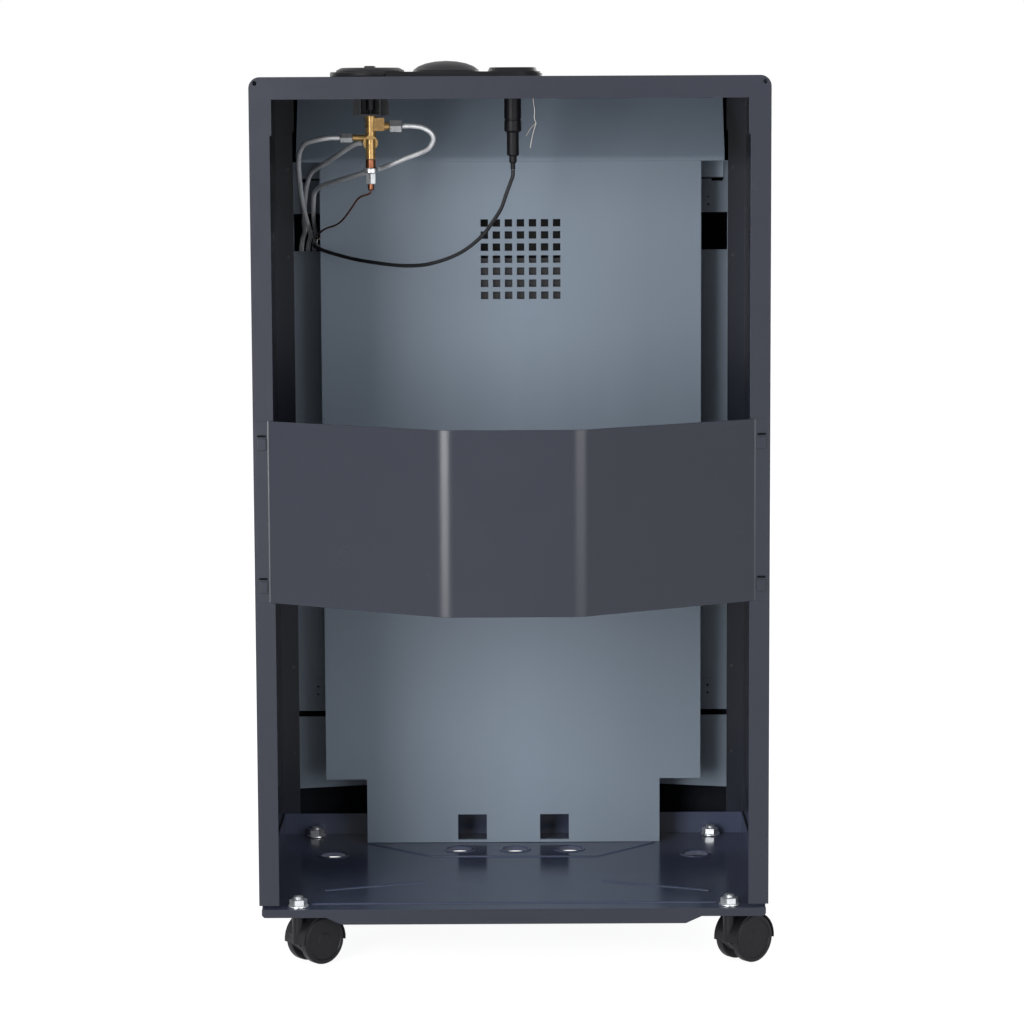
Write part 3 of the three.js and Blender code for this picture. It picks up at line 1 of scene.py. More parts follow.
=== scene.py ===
"""Looks of a portable gas cabinet heater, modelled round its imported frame.

The frame is in metres, +Z up, the heated front at -Y and the open rear at +Y. Sizes in the code are in
millimetres unless a line says otherwise, and a depth runs forward from the cabinet's rear flanges.
"""

import json
import math

import bpy
from bpy.props import FloatProperty, FloatVectorProperty, PointerProperty
from mathutils import Matrix, Vector


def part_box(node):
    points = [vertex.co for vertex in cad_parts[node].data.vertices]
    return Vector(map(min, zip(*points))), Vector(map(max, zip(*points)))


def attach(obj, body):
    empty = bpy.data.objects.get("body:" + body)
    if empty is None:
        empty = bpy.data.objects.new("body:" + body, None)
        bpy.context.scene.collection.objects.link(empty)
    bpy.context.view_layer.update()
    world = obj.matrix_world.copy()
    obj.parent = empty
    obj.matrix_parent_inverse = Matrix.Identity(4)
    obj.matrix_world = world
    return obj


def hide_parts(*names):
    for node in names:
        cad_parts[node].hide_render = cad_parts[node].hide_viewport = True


bl_info = {
    "name": "Gas Cabinet Heater",
    "version": (1, 0, 0),
    "blender": (4, 5, 0),
    "location": "View3D > Sidebar > Heater",
    "description": "Builds a portable gas cabinet heater, piece by piece",
    "category": "Add Mesh",
}

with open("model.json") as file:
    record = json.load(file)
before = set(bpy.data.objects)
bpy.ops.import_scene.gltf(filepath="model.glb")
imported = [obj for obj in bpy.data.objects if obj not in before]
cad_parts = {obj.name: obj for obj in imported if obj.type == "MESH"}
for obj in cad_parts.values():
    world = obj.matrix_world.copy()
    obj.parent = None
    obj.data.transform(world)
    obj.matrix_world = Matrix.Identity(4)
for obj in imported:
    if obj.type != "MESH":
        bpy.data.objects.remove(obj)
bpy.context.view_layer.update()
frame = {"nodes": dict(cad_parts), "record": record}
MM = 0.001
REAR_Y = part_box("cabinet_wrapper")[1].y
BODIES = frame["record"]["behaviour"]["bodies"]
BODY_OF = {node: body for body, nodes in BODIES.items() for node in nodes}
SLOT_OF = {entry["node"]: entry["material_slot"] for entry in frame["record"]["subparts"]}

# places that several pieces share
FLOOR = 49  # top of the base tray's floor
CONTROL_DEPTH = 150  # of the valve, the knob, the igniter and its button
KNOB_X = 118
BUTTON_X = -2.2
FLANGE_FACE = 298.8  # depth of the wrapper's front flanges
BURNER_Z = 470  # middle height of the burner

# doubles in a mesh that lie closer than these are merged
NODE_WELD = 0.01
PIECE_WELD = 0.004


def spot(x, depth, z):
    """A point given by X, depth and height in millimetres."""
    return Vector((x * MM, REAR_Y - depth * MM, z * MM))


# ---- materials ----
class Finish:
    """A material under way: its nodes, their links and the main shader."""

    def __init__(self, name, color, metallic, roughness, specular=0.5):
        self.material = bpy.data.materials.new(name)
        self.material.use_nodes = True
        self.tree = self.material.node_tree
        self.shader = self.tree.nodes["Principled BSDF"]
        inputs = self.shader.inputs
        inputs["Base Color"].default_value = (*color, 1)
        inputs["Metallic"].default_value = metallic
        inputs["Roughness"].default_value = roughness
        inputs["Specular IOR Level"].default_value = specular
        self.place = self.node("ShaderNodeTexCoord").outputs["Object"]
        self.relief = None

    def node(self, kind, **settings):
        made = self.tree.nodes.new(kind)
        for key, value in settings.items():
            setattr(made, key, value)
        return made

    def link(self, source, target):
        self.tree.links.new(source, target)

    def stretched(self, scale):
        """The coordinates, scaled by its own amount along each axis."""
        mapping = self.node("ShaderNodeMapping")
        mapping.inputs["Scale"].default_value = scale
        self.link(self.place, mapping.inputs["Vector"])
        return mapping.outputs["Vector"]

    def noise(self, scale, detail=3.0, where=None):
        made = self.node("ShaderNodeTexNoise")
        made.inputs["Scale"].default_value = scale
        made.inputs["Detail"].default_value = detail
        self.link(where or self.place, made.inputs["Vector"])
        return made.outputs["Fac"]

    def cells(self, scale):
        made = self.node("ShaderNodeTexVoronoi")
        made.inputs["Scale"].default_value = scale
        self.link(self.place, made.inputs["Vector"])
        return made.outputs["Distance"]

    def ranged(self, value, low, high, to_low, to_high):
        made = self.node("ShaderNodeMapRange")
        self.link(value, made.inputs["Value"])
        limits = {"From Min": low, "From Max": high, "To Min": to_low, "To Max": to_high}
        for socket, number in limits.items():
            made.inputs[socket].default_value = number
        return made.outputs["Result"]

    def math(self, operation, first, second):
        made = self.node("ShaderNodeMath", operation=operation)
        for socket, value in zip(made.inputs, (first, second)):
            if isinstance(value, (int, float)):
                socket.default_value = value
            else:
                self.link(value, socket)
        return made.outputs["Value"]

    def tint(self, share, color):
        """Mixes another colour in by share."""
        base = self.shader.inputs["Base Color"]
        mix = self.node("ShaderNodeMix", data_type="RGBA")
        if base.is_linked:
            self.link(base.links[0].from_socket, mix.inputs["A"])
        else:
            mix.inputs["A"].default_value = base.default_value
        mix.inputs["B"].default_value = (*color, 1)
        self.link(share, mix.inputs["Factor"])
        self.link(mix.outputs["Result"], base)
        return self

    def patch(self, pattern, low, high, share, color):
        """Mixes another colour in where a pattern is high, up to a share of it."""
        return self.tint(self.ranged(pattern, low, high, 0.0, share), color)

    def vary(self, value, low, high, to_low, to_high):
        """Lets the roughness follow a pattern."""
        self.link(self.ranged(value, low, high, to_low, to_high), self.shader.inputs["Roughness"])
        return self

    def bump(self, value, distance, strength=1.0):
        """Adds relief, each call on top of the one before."""
        made = self.node("ShaderNodeBump")
        made.inputs["Distance"].default_value = distance
        made.inputs["Strength"].default_value = strength
        self.link(value, made.inputs["Height"])
        if self.relief:
            self.link(self.relief, made.inputs["Normal"])
        self.relief = made.outputs["Normal"]
        self.link(self.relief, self.shader.inputs["Normal"])
        return self


def lighter(color, by):
    """The colour times a factor, which darkens it where the factor is under one."""
    return tuple(min(1.0, c * by) for c in color)


def enamel(name, color, roughness):
    """Sprayed satin enamel: slight orange peel, a few dust nibs and hairline rub marks."""
    made = Finish(name, color, 0.0, roughness, 0.42)
    made.patch(made.noise(5.0), 0.2, 0.8, 0.4, lighter(color, 0.85))
    made.patch(made.noise(1400.0, 2.0), 0.7, 0.85, 0.25, lighter(color, 1.4))
    rub = made.noise(9.0, 4.0, made.stretched((1.0, 1.0, 60.0)))
    made.patch(rub, 0.66, 0.85, 0.15, lighter(color, 1.4))
    made.vary(made.noise(38.0, 4.0), 0.1, 0.9, roughness - 0.03, roughness + 0.04)
    made.bump(made.noise(620.0, 2.0), 0.0001, 0.25)
    made.bump(made.noise(7.0, 1.0), 0.0004, 0.12)
    return made.material


def rolled_steel(name, color, roughness, stain=0):
    """Grey coated sheet: faint mill streaks, slow waves and, if a width is given, painted shade that darkens
    it almost to black within that width of X 0.
    """
    made = Finish(name, color, 0.0, roughness, 0.3)
    streaks = made.noise(9.0, 4.0, made.stretched((7.0, 7.0, 0.8)))
    made.patch(streaks, 0.35, 0.7, 0.25, lighter(color, 1.07))
    made.patch(made.noise(3.2), 0.4, 0.75, 0.4, lighter(color, 0.93))
    made.patch(made.noise(420.0, 2.0), 0.76, 0.8, 0.3, lighter(color, 0.6))
    if stain:
        parts = made.node("ShaderNodeSeparateXYZ")
        made.link(made.place, parts.inputs["Vector"])
        off_centre = made.math("ABSOLUTE", parts.outputs["X"], 0)
        # painted shade: the middle darkened almost to black, standing for the shade behind the shield's vents
        made.tint(made.ranged(off_centre, stain, stain * 1.06, 1.0, 0.0), (0.008, 0.008, 0.009))
    made.vary(streaks, 0.3, 0.7, roughness - 0.05, roughness + 0.06)
    made.bump(made.noise(4.5, 1.0), 0.004, 0.25)
    made.bump(made.noise(800.0, 2.0), 0.00006, 0.25)
    return made.material


def zinc(name, color, roughness):
    """Bright zinc plate with small spangles and dull patches."""
    made = Finish(name, color, 0.85, roughness)
    made.patch(made.cells(260.0), 0.1, 0.8, 0.35, lighter(color, 0.72))
    made.patch(made.noise(60.0, 4.0), 0.55, 0.75, 0.4, (0.42, 0.4, 0.36))
    made.vary(made.noise(150.0, 3.0), 0.3, 0.7, roughness - 0.06, roughness + 0.14)
    made.bump(made.noise(700.0, 2.0), 0.00008, 0.3)
    return made.material


def worked_metal(name, color, tarnish, roughness, metallic=0.9):
    """Turned or drawn metal: fine tool lines, and tarnish in patches."""
    made = Finish(name, color, metallic, roughness)
    made.patch(made.noise(70.0, 4.0), 0.5, 0.72, 0.7, tarnish)
    made.patch(made.noise(420.0, 3.0), 0.58, 0.7, 0.4, lighter(tarnish, 0.6))
    made.vary(made.noise(220.0, 3.0), 0.3, 0.7, roughness - 0.06, roughness + 0.16)
    lines = made.noise(30.0, 2.0, made.stretched((1.0, 1.0, 60.0)))
    made.bump(lines, 0.00008, 0.4)
    made.bump(made.noise(900.0, 2.0), 0.00005, 0.3)
    return made.material


def moulded(name, color, roughness):
    """Moulded plastic with a fine spark-eroded grain and handling polish."""
    made = Finish(name, color, 0.0, roughness, 0.2)
    made.patch(made.noise(12.0), 0.4, 0.7, 0.5, lighter(color, 1.4))
    made.patch(made.noise(900.0, 2.0), 0.7, 0.78, 0.5, lighter(color, 2.6))
    made.vary(made.noise(24.0, 3.0), 0.3, 0.7, roughness - 0.1, roughness + 0.1)
    made.bump(made.noise(1500.0, 2.0), 0.0001, 0.5)
    return made.material


def sleeve(name, color):
    """The lead's soft sleeve: matt, with faint drawing lines."""
    made = Finish(name, color, 0.0, 0.55, 0.3)
    made.patch(made.noise(300.0, 3.0), 0.5, 0.7, 0.4, lighter(color, 2.2))
    made.vary(made.noise(120.0, 3.0), 0.3, 0.7, 0.42, 0.62)
    made.bump(made.noise(1200.0, 2.0), 0.00006, 0.5)
    return made.material


def shade(name, color):
    """Near-black painted shade for the inside of a punched hole or a shaded hollow, with a little dust."""
    made = Finish(name, color, 0.0, 0.95, 0.1)
    made.patch(made.noise(200.0), 0.5, 0.8, 0.4, lighter(color, 2.0))
    made.vary(made.noise(90.0), 0.3, 0.7, 0.9, 1.0)
    made.bump(made.noise(800.0), 0.0001, 0.5)
    return made.material


def fireclay(name, color, pitch):
    """Perforated burner ceramic: rows of small round ports in an unglazed face, the ports darkened as painted
    shade inside them.
    """
    made = Finish(name, color, 0.0, 0.9, 0.3)
    parts = made.node("ShaderNodeSeparateXYZ")
    made.link(made.place, parts.inputs["Vector"])
    turn = 2 * math.pi / pitch
    across = made.math("SINE", made.math("MULTIPLY", parts.outputs["X"], turn), 0)
    upward = made.math("SINE", made.math("MULTIPLY", parts.outputs["Z"], turn), 0)
    ports = made.ranged(made.math("MULTIPLY", across, upward), 0.35, 0.6, 0.0, 1.0)
    made.patch(made.noise(25.0, 4.0), 0.4, 0.75, 0.5, lighter(color, 0.8))
    # painted shade: the ports darkened as the shade inside them
    made.tint(ports, lighter(color, 0.18))
    made.bump(made.math("SUBTRACT", 1.0, ports), 0.0008, 0.8)
    made.bump(made.noise(900.0, 3.0), 0.0001, 0.5)
    made.vary(made.noise(40.0), 0.3, 0.7, 0.82, 0.95)
    return made.material


LOOKS = {}
SHADE_HALF_WIDTH = 150  # half width of the firebox back plate's middle that is painted near black as shade
PORT_PITCH = 3.4  # of the burner ceramic's ports


def look(slot):
    """The material of a record slot, or one of this file's further finishes, made once."""
    if slot not in LOOKS:
        colors = bpy.context.scene.heater_colors
        makers = {  # each look's maker and what it takes
            "case_paint": (enamel, "case_enamel", colors.case, 0.25),
            # the case enamel four times lighter, a painted sheen for the light the tray's floor reflects
            "painted_sheen_tray": (enamel, "tray_enamel", lighter(colors.case, 4.0), 0.16),
            "dull_wire": (zinc, "dull_wire", (0.5, 0.48, 0.44), 0.4),
            # the case enamel nine times lighter, a painted highlight for the flanges' hems
            "rubbed_edge": (enamel, "rubbed_edge", lighter(colors.case, 9.0), 0.2),
            # the shield's sheet 1.9 times lighter, painted light for the small upper plates
            "bright_sheet": (rolled_steel, "bright_sheet", lighter(colors.shield, 1.9), 0.4),
            # the firebox's back plate, its middle painted near black as shade
            "stained_sheet": (rolled_steel, "stained_sheet", colors.shield, 0.4, SHADE_HALF_WIDTH * MM),
            # near-black painted shade for the front panels' inner faces
            "inner_coat": (shade, "inner_coat", (0.007, 0.008, 0.011)),
            # near-black painted shade standing for punched holes and slots
            "hole": (shade, "punched_hole", (0.004, 0.004, 0.005)),
            "dark_paint": (enamel, "dark_enamel", colors.dark, 0.35),
            "shield_steel": (rolled_steel, "coated_sheet", colors.shield, 0.4),
            "bright_steel": (zinc, "zinc_plate", colors.zinc, 0.3),
            "brass": (worked_metal, "turned_brass", colors.brass, (0.14, 0.07, 0.02), 0.24, 0.6),
            "aluminium": (worked_metal, "drawn_pipe", colors.pipe, (0.55, 0.56, 0.58), 0.36, 0.45),
            "black_plastic": (moulded, "black_moulding", colors.plastic, 0.45),
            "lead_rubber": (sleeve, "lead_sleeve", colors.sleeve),
            "ceramic": (fireclay, "burner_ceramic", colors.ceramic, PORT_PITCH * MM),
            "copper": (worked_metal, "capillary_copper", colors.copper, (0.1, 0.045, 0.025), 0.32),
        }
        maker, *settings = makers[slot]
        LOOKS[slot] = maker(*settings)
    return LOOKS[slot]


# ---- modelling ----
def switch_to(mode):
    bpy.ops.object.mode_set(mode=mode)


def deselect():
    current = bpy.context.view_layer.objects.active
    if current and current.mode != "OBJECT":
        switch_to("OBJECT")
    bpy.ops.object.select_all(action="DESELECT")


def make_active(piece):
    deselect()
    piece.select_set(True)
    bpy.context.view_layer.objects.active = piece
    return piece


def named(name):
    """Names what has just been added."""
    piece = bpy.context.view_layer.objects.active
    piece.name = name
    piece.data.name = name
    return piece


def modified(piece, kind, **settings):
    """Adds a modifier and applies it."""
    make_active(piece)
    modifier = piece.modifiers.new(kind.title(), kind)
    for key, value in settings.items():
        setattr(modifier, key, value)
    bpy.ops.object.modifier_apply(modifier=modifier.name)
    return piece


def rounded(piece, width, segments=2, angle=35):
    """Rounds the sharp edges, by a width in millimetres."""
    settings = {"limit_method": "ANGLE", "angle_limit": math.radians(angle), "harden_normals": False}
    return modified(piece, "BEVEL", width=width * MM, segments=segments, **settings)


def even_shading(piece, angle=40):
    """Shades a piece smooth up to an angle in degrees, its large faces kept flat."""
    make_active(piece)
    bpy.ops.object.shade_smooth_by_angle(angle=math.radians(angle))
    return modified(piece, "WEIGHTED_NORMAL", keep_sharp=True)


def normals_out(piece):
    """Merges a piece's doubles and turns its faces outward."""
    make_active(piece)
    switch_to("EDIT")
    bpy.ops.mesh.select_all(action="SELECT")
    bpy.ops.mesh.remove_doubles(threshold=PIECE_WELD * MM)
    bpy.ops.mesh.normals_make_consistent(inside=False)
    switch_to("OBJECT")
    return piece


def placed(piece, matrix):
    """Puts the place and turn into the mesh and leaves the object at the origin."""
    make_active(piece)
    bpy.ops.object.transform_apply(location=True, rotation=True, scale=True)
    piece.data.transform(matrix)
    return piece


def joined(name, pieces):
    """One named piece from several."""
    make_active(pieces[0])
    for piece in pieces[1:]:
        piece.select_set(True)
    if len(pieces) > 1:
        bpy.ops.object.join()
    return named(name)


def fitted(piece, slot, *replaced, body="cabinet", own_look=None):
    """Gives a finished piece its material, its body and the nodes that it stands for."""
    piece.data.materials.clear()
    piece.data.materials.append(look(own_look or slot))
    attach(piece, body)
    if replaced:
        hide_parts(*replaced)
    return piece


def copied(node, name, edge, segments=2, angle=35):
    """A piece with a node's own shape, its doubles merged and its edges rounded."""
    source = frame["nodes"][node]
    deselect()
    piece = bpy.data.objects.new(name, source.data.copy())
    bpy.context.scene.collection.objects.link(piece)
    make_active(piece)
    switch_to("EDIT")
    bpy.ops.mesh.select_all(action="SELECT")
    bpy.ops.mesh.remove_doubles(threshold=NODE_WELD * MM)
    bpy.ops.mesh.dissolve_limited(angle_limit=math.radians(0.6))
    switch_to("OBJECT")
    rounded(piece, edge, segments, angle)
    return even_shading(piece)


def dressed(node, name, edge, segments=2, angle=35, own_look=None):
    """A copied node, finished and put in its place."""
    piece = copied(node, name, edge, segments, angle)
    return fitted(piece, SLOT_OF[node], node, body=BODY_OF[node], own_look=own_look)


def coated(piece, finish, chosen):
    """Gives a second finish to the faces for which chosen(face) holds."""
    piece.data.materials.append(look(finish))
    for face in piece.data.polygons:
        if chosen(face):
            face.material_index = 1


def block(name, low, high, edge=0.3, segments=2):
    """A small plate or bar between two corners, its edges rounded; corners in millimetres."""
    deselect()
    a, b = spot(*low), spot(*high)
    bpy.ops.mesh.primitive_cube_add(size=1, location=(a + b) / 2)
    piece = named(name)
    piece.scale = [abs(q - p) for p, q in zip(a, b)]
    placed(piece, Matrix.Identity(4))
    return even_shading(rounded(piece, edge, segments))


# turns a round body's own +Z to +Z, to +X or to the front
AXES = {
    "Z": Matrix.Identity(4),
    "X": Matrix.Rotation(math.pi / 2, 4, "Y"),
    "Y": Matrix.Rotation(math.pi / 2, 4, "X"),
}


def turned(name, rings, centre, sides=32, axis="Z", angle=32):
    """A round body from rings of radius and height, capped at both ends; axis Y looks to the front."""
    deselect()
    radius, height = rings[0]
    settings = {"vertices": sides, "fill_type": "NGON", "enter_editmode": True}
    bpy.ops.mesh.primitive_circle_add(radius=radius * MM, location=(0, 0, height * MM), **settings)
    for next_radius, next_height in rings[1:]:
        rise = (0, 0, (next_height - height) * MM)
        bpy.ops.mesh.extrude_region_move(TRANSFORM_OT_translate={"value": rise})
        grow = next_radius / radius
        pivot = (0, 0, next_height * MM)
        bpy.ops.transform.resize(value=(grow, grow, 1), center_override=pivot)
        radius, height = next_radius, next_height
    switch_to("OBJECT")
    piece = named(name)
    placed(piece, Matrix.Translation(spot(*centre)) @ AXES[axis])
    return even_shading(normals_out(piece), angle)


def hexagon(name, flat, low, high, centre, axis="Z", chamfer=0.7):
    """A hexagonal nut, measured across its flats, with both rims chamfered."""
    corner, drop = flat / math.sqrt(3), chamfer * 0.6
    rings = [(corner - chamfer, low), (corner, low + drop), (corner, high - drop), (corner - chamfer, high)]
    return turned(name, rings, centre, 6, axis, 20)


def smooth_line(points, per_span=5):
    """A centripetal Catmull-Rom curve through the points, as the frame's tubes follow."""
    ends = [points[0] * 2 - points[1], *points, points[-1] * 2 - points[-2]]
    line = []
    for p0, p1, p2, p3 in zip(ends, ends[1:], ends[2:], ends[3:]):
        t1 = (p1 - p0).length ** 0.5
        t2 = t1 + (p2 - p1).length ** 0.5
        t3 = t2 + (p3 - p2).length ** 0.5
        for i in range(per_span):
            t = t1 + (t2 - t1) * i / per_span
            a1 = p0 * ((t1 - t) / t1) + p1 * (t / t1)
            a2 = p1 * ((t2 - t) / (t2 - t1)) + p2 * ((t - t1) / (t2 - t1))
            a3 = p2 * ((t3 - t) / (t3 - t2)) + p3 * ((t - t2) / (t3 - t2))
            b1 = a1 * ((t2 - t) / t2) + a2 * (t / t2)
            b2 = a2 * ((t3 - t) / (t3 - t1)) + a3 * ((t - t1) / (t3 - t1))
            line.append(b1 * ((t2 - t) / (t2 - t1)) + b2 * ((t - t1) / (t2 - t1)))
    return [*line, points[-1].copy()]


def wire_curve(name, line, radius, resolution=3):
    """A curve with a round section along a line of points."""
    curve = bpy.data.curves.new(name, "CURVE")
    curve.dimensions = "3D"
    spline = curve.splines.new("POLY")
    spline.points.add(len(line) - 1)
    for point, place in zip(spline.points, line):
        point.co = (*place, 1)
    curve.bevel_depth = radius * MM
    curve.bevel_resolution = resolution
    curve.use_fill_caps = True
    piece = bpy.data.objects.new(name, curve)
    bpy.context.scene.collection.objects.link(piece)
    return piece


def swept(name, points, radius, resolution=3, per_span=5):
    """A round rod or pipe along points given by X, depth and height, straight if per_span is 0."""
    line = [spot(*p) for p in points]
    if per_span:
        line = smooth_line(line, per_span)
    make_active(wire_curve(name, line, radius, resolution))
    bpy.ops.object.convert(target="MESH")
    return even_shading(normals_out(named(name)), 50)


def folded(name, line, low, high, thickness, edge=0.3):
    """An upright sheet folded along a line of X and depth, its wall grown to the line's left."""
    deselect()
    bpy.ops.mesh.primitive_plane_add(size=1, enter_editmode=True)
    bpy.ops.mesh.select_all(action="DESELECT")
    switch_to("OBJECT")
    piece = named(name)
    start = spot(*line[0], low)
    rise = Vector((0, 0, (high - low) * MM))
    places = (start, start + rise, start, start)
    for i, vertex in enumerate(piece.data.vertices):
        vertex.co = places[i]
        vertex.select = i > 1
    switch_to("EDIT")
    bpy.ops.mesh.delete(type="VERT")
    bpy.ops.mesh.select_all(action="SELECT")
    if not any(side.select for side in piece.data.edges):
        bpy.ops.mesh.edge_face_add()
    for before, after in zip(line, line[1:]):
        step = spot(*after, 0) - spot(*before, 0)
        bpy.ops.mesh.extrude_edges_move(TRANSFORM_OT_translate={"value": step})
    switch_to("OBJECT")
    modified(piece, "SOLIDIFY", thickness=thickness * MM, offset=1)
    return even_shading(rounded(normals_out(piece), edge, 2, 50), 45)


def arc(before, corner, after, radius, steps):
    """Points of a round bend at a corner between two straight stretches."""
    before, corner, after = Vector(before), Vector(corner), Vector(after)
    a = (before - corner).normalized()
    b = (after - corner).normalized()
    half = a.angle(b) / 2
    centre = corner + (a + b).normalized() * (radius / math.sin(half))
    start = corner + a * (radius / math.tan(half)) - centre
    end = corner + b * (radius / math.tan(half)) - centre
    sweep = math.atan2(start.cross(end), start.dot(end))
    spins = [Matrix.Rotation(sweep * i / steps, 2) for i in range(steps + 1)]
    return [tuple(centre + spin @ start) for spin in spins]


# ---- settings ----
def color_prop(label, text, value):
    settings = {"subtype": "COLOR", "size": 3, "min": 0, "max": 1}
    return FloatVectorProperty(name=label, description=text, default=value, **settings)


def size_prop(label, text, value, low, high, subtype="NONE"):
    settings = {"subtype": subtype, "min": low, "max": high}
    return FloatProperty(name=label, description=text, default=value, **settings)


class HeaterColors(bpy.types.PropertyGroup):
    """Colours of the finishes."""

    case: color_prop("Case", "Satin enamel of the case and band", (0.015, 0.018, 0.03))
    dark: color_prop("Dark", "Enamel of burner box, valve bracket and screws", (0.014, 0.015, 0.021))
    shield: color_prop("Shield", "Coated sheet of shield and deflector", (0.2, 0.245, 0.3))
    zinc: color_prop("Zinc", "Plated nuts, brackets and wires", (0.68, 0.7, 0.72))
    brass: color_prop("Brass", "Valve body", (0.36, 0.225, 0.08))
    pipe: color_prop("Pipe", "Drawn gas pipes", (0.74, 0.75, 0.77))
    plastic: color_prop("Plastic", "Controls, igniter and castors", (0.006, 0.006, 0.008))
    sleeve: color_prop("Sleeve", "Sleeve of the igniter's lead", (0.01, 0.01, 0.012))
    ceramic: color_prop("Ceramic", "Burner plaques", (0.72, 0.66, 0.56))
    copper: color_prop("Copper", "Thermocouple's capillary", (0.22, 0.085, 0.045))


class HeaterSizes(bpy.types.PropertyGroup):
    """Sizes that may be changed."""

    lens: size_prop("Lens", "Focal length of the camera in mm", 123.36, 20, 400)
    lead: size_prop("Lead", "Diameter of the lead in mm", 3.2, 2, 4)
    pipe: size_prop("Pipe", "Diameter of the gas pipes in mm", 4.2, 2, 5)
    edge: size_prop("Edge", "Rounding of cut sheet edges in mm", 0.5, 0.05, 0.6)
    light: size_prop("Light", "Share of the lamps' power", 1, 0, 2, "FACTOR")


class Maker:
    """What every operator of this file shares."""

    bl_options = {"REGISTER", "UNDO"}

    def execute(self, context):
        self.make(context.scene.heater_sizes)
        return {"FINISHED"}


# ---- camera and lead ----
class HEATER_OT_camera(Maker, bpy.types.Operator):
    """Sets up the camera at the photograph's view of the open rear"""

    bl_idname = "heater.camera"
    bl_label = "Camera"

    # fitted to the photograph: the place by X, depth and height, the angles in degrees
    PLACE = (0, -2835.2, 719.5)
    LOOK_DOWN = 6.851
    ROLL = -0.273
    SENSOR = 36

    def make(self, sizes):
        deselect()
        bpy.ops.object.camera_add(location=spot(*self.PLACE))
        camera = named("view")
        camera.data.lens = sizes.lens
        camera.data.sensor_width = self.SENSOR
        to_front = Matrix.Rotation(math.pi, 4, "Z")
        pitch = Matrix.Rotation(math.radians(90 - self.LOOK_DOWN), 4, "X")
        turn = to_front @ pitch @ Matrix.Rotation(math.radians(self.ROLL), 4, "Z")
        camera.matrix_world = Matrix.Translation(camera.location) @ turn
        bpy.context.scene.camera = camera


# X, depth and height of the lead's middle, from the igniter to the pilot
LEAD_POINTS = [
    (-2.2, 150, 652.7), (-2.1, 150, 648), (0, 150, 642), (4, 151, 631), (8, 153, 620),
    (15, 156, 609), (24, 160, 597), (43, 168, 582), (70, 180, 572), (92, 192, 570),
    (118, 208, 572), (138, 228, 574.5), (152, 240, 577.5), (163, 248, 580.5), (171, 255, 583.5),
    (173.5, 268, 584.5), (174, 292, 583.5), (172, 302, 582.5), (165.5, 309.5, 577), (160, 315.5, 571),
    (158, 319, 568), (158, 321.7, 568),
]


class HEATER_OT_lead(Maker, bpy.types.Operator):
    """Hangs the igniter's lead between the igniter and the pilot"""

    bl_idname = "heater.lead"
    bl_label = "Igniter lead"

    def make(self, sizes):
        line = smooth_line([spot(*p) for p in LEAD_POINTS], 6)
        lead = wire_curve("igniter_flex", line, sizes.lead / 2, 4)
        fitted(lead, "lead_rubber", "igniter_lead", body=BODY_OF["igniter_lead"])


# ---- cabinet ----
def screw(name, x, depth, z, radius):
    """A pan-head screw with its flat back at the given depth and its head to the front."""
    rings = [(radius, 0), (radius, 0.6), (radius * 0.9, 1.1), (radius * 0.62, 1.5), (radius * 0.5, 1.52)]
    rings += [(radius * 0.42, 1.0), (radius * 0.1, 0.95)]
    return turned(name, rings, (x, depth, z), 20, "Y", 30)


class HEATER_OT_cabinet(Maker, bpy.types.Operator):
    """Builds the folded wrapper, the hems of its rear flanges in a lightened enamel that paints a highlight
    along them, and its flange screws
    """

    bl_idname = "heater.cabinet"
    bl_label = "Cabinet"

    HEM_X, HEM_DEPTH, HEM_RADIUS = 194.3, 0.9, 0.85
    HEM_ENDS = (62, 681)
    SCREW_X, SCREW_RADIUS, SCREW_PROUD = 198, 1.6, 0.05
    SCREW_HEIGHTS = (650.6, 572.9, 202.4, 123.9, 61.7)

    def make(self, sizes):
        dressed("cabinet_wrapper", "wrapper", sizes.edge)
        hems, heads = [], []
        for side in (-1, 1):
            ends = [(side * self.HEM_X, self.HEM_DEPTH, z) for z in self.HEM_ENDS]
            hems.append(swept("hem", ends, self.HEM_RADIUS, 3, 0))
        # the hems get a lightened enamel as a painted highlight along the flanges' inner edges
        fitted(joined("flange_hems", hems), "case_paint", own_look="rubbed_edge")
        for side in (-1, 1):
            for z in self.SCREW_HEIGHTS:
                place = (side * self.SCREW_X, FLANGE_FACE - self.SCREW_PROUD, z)
                heads.append(screw("head", *place, self.SCREW_RADIUS))
        fitted(joined("flange_screws", heads), "bright_steel", own_look="dark_paint")


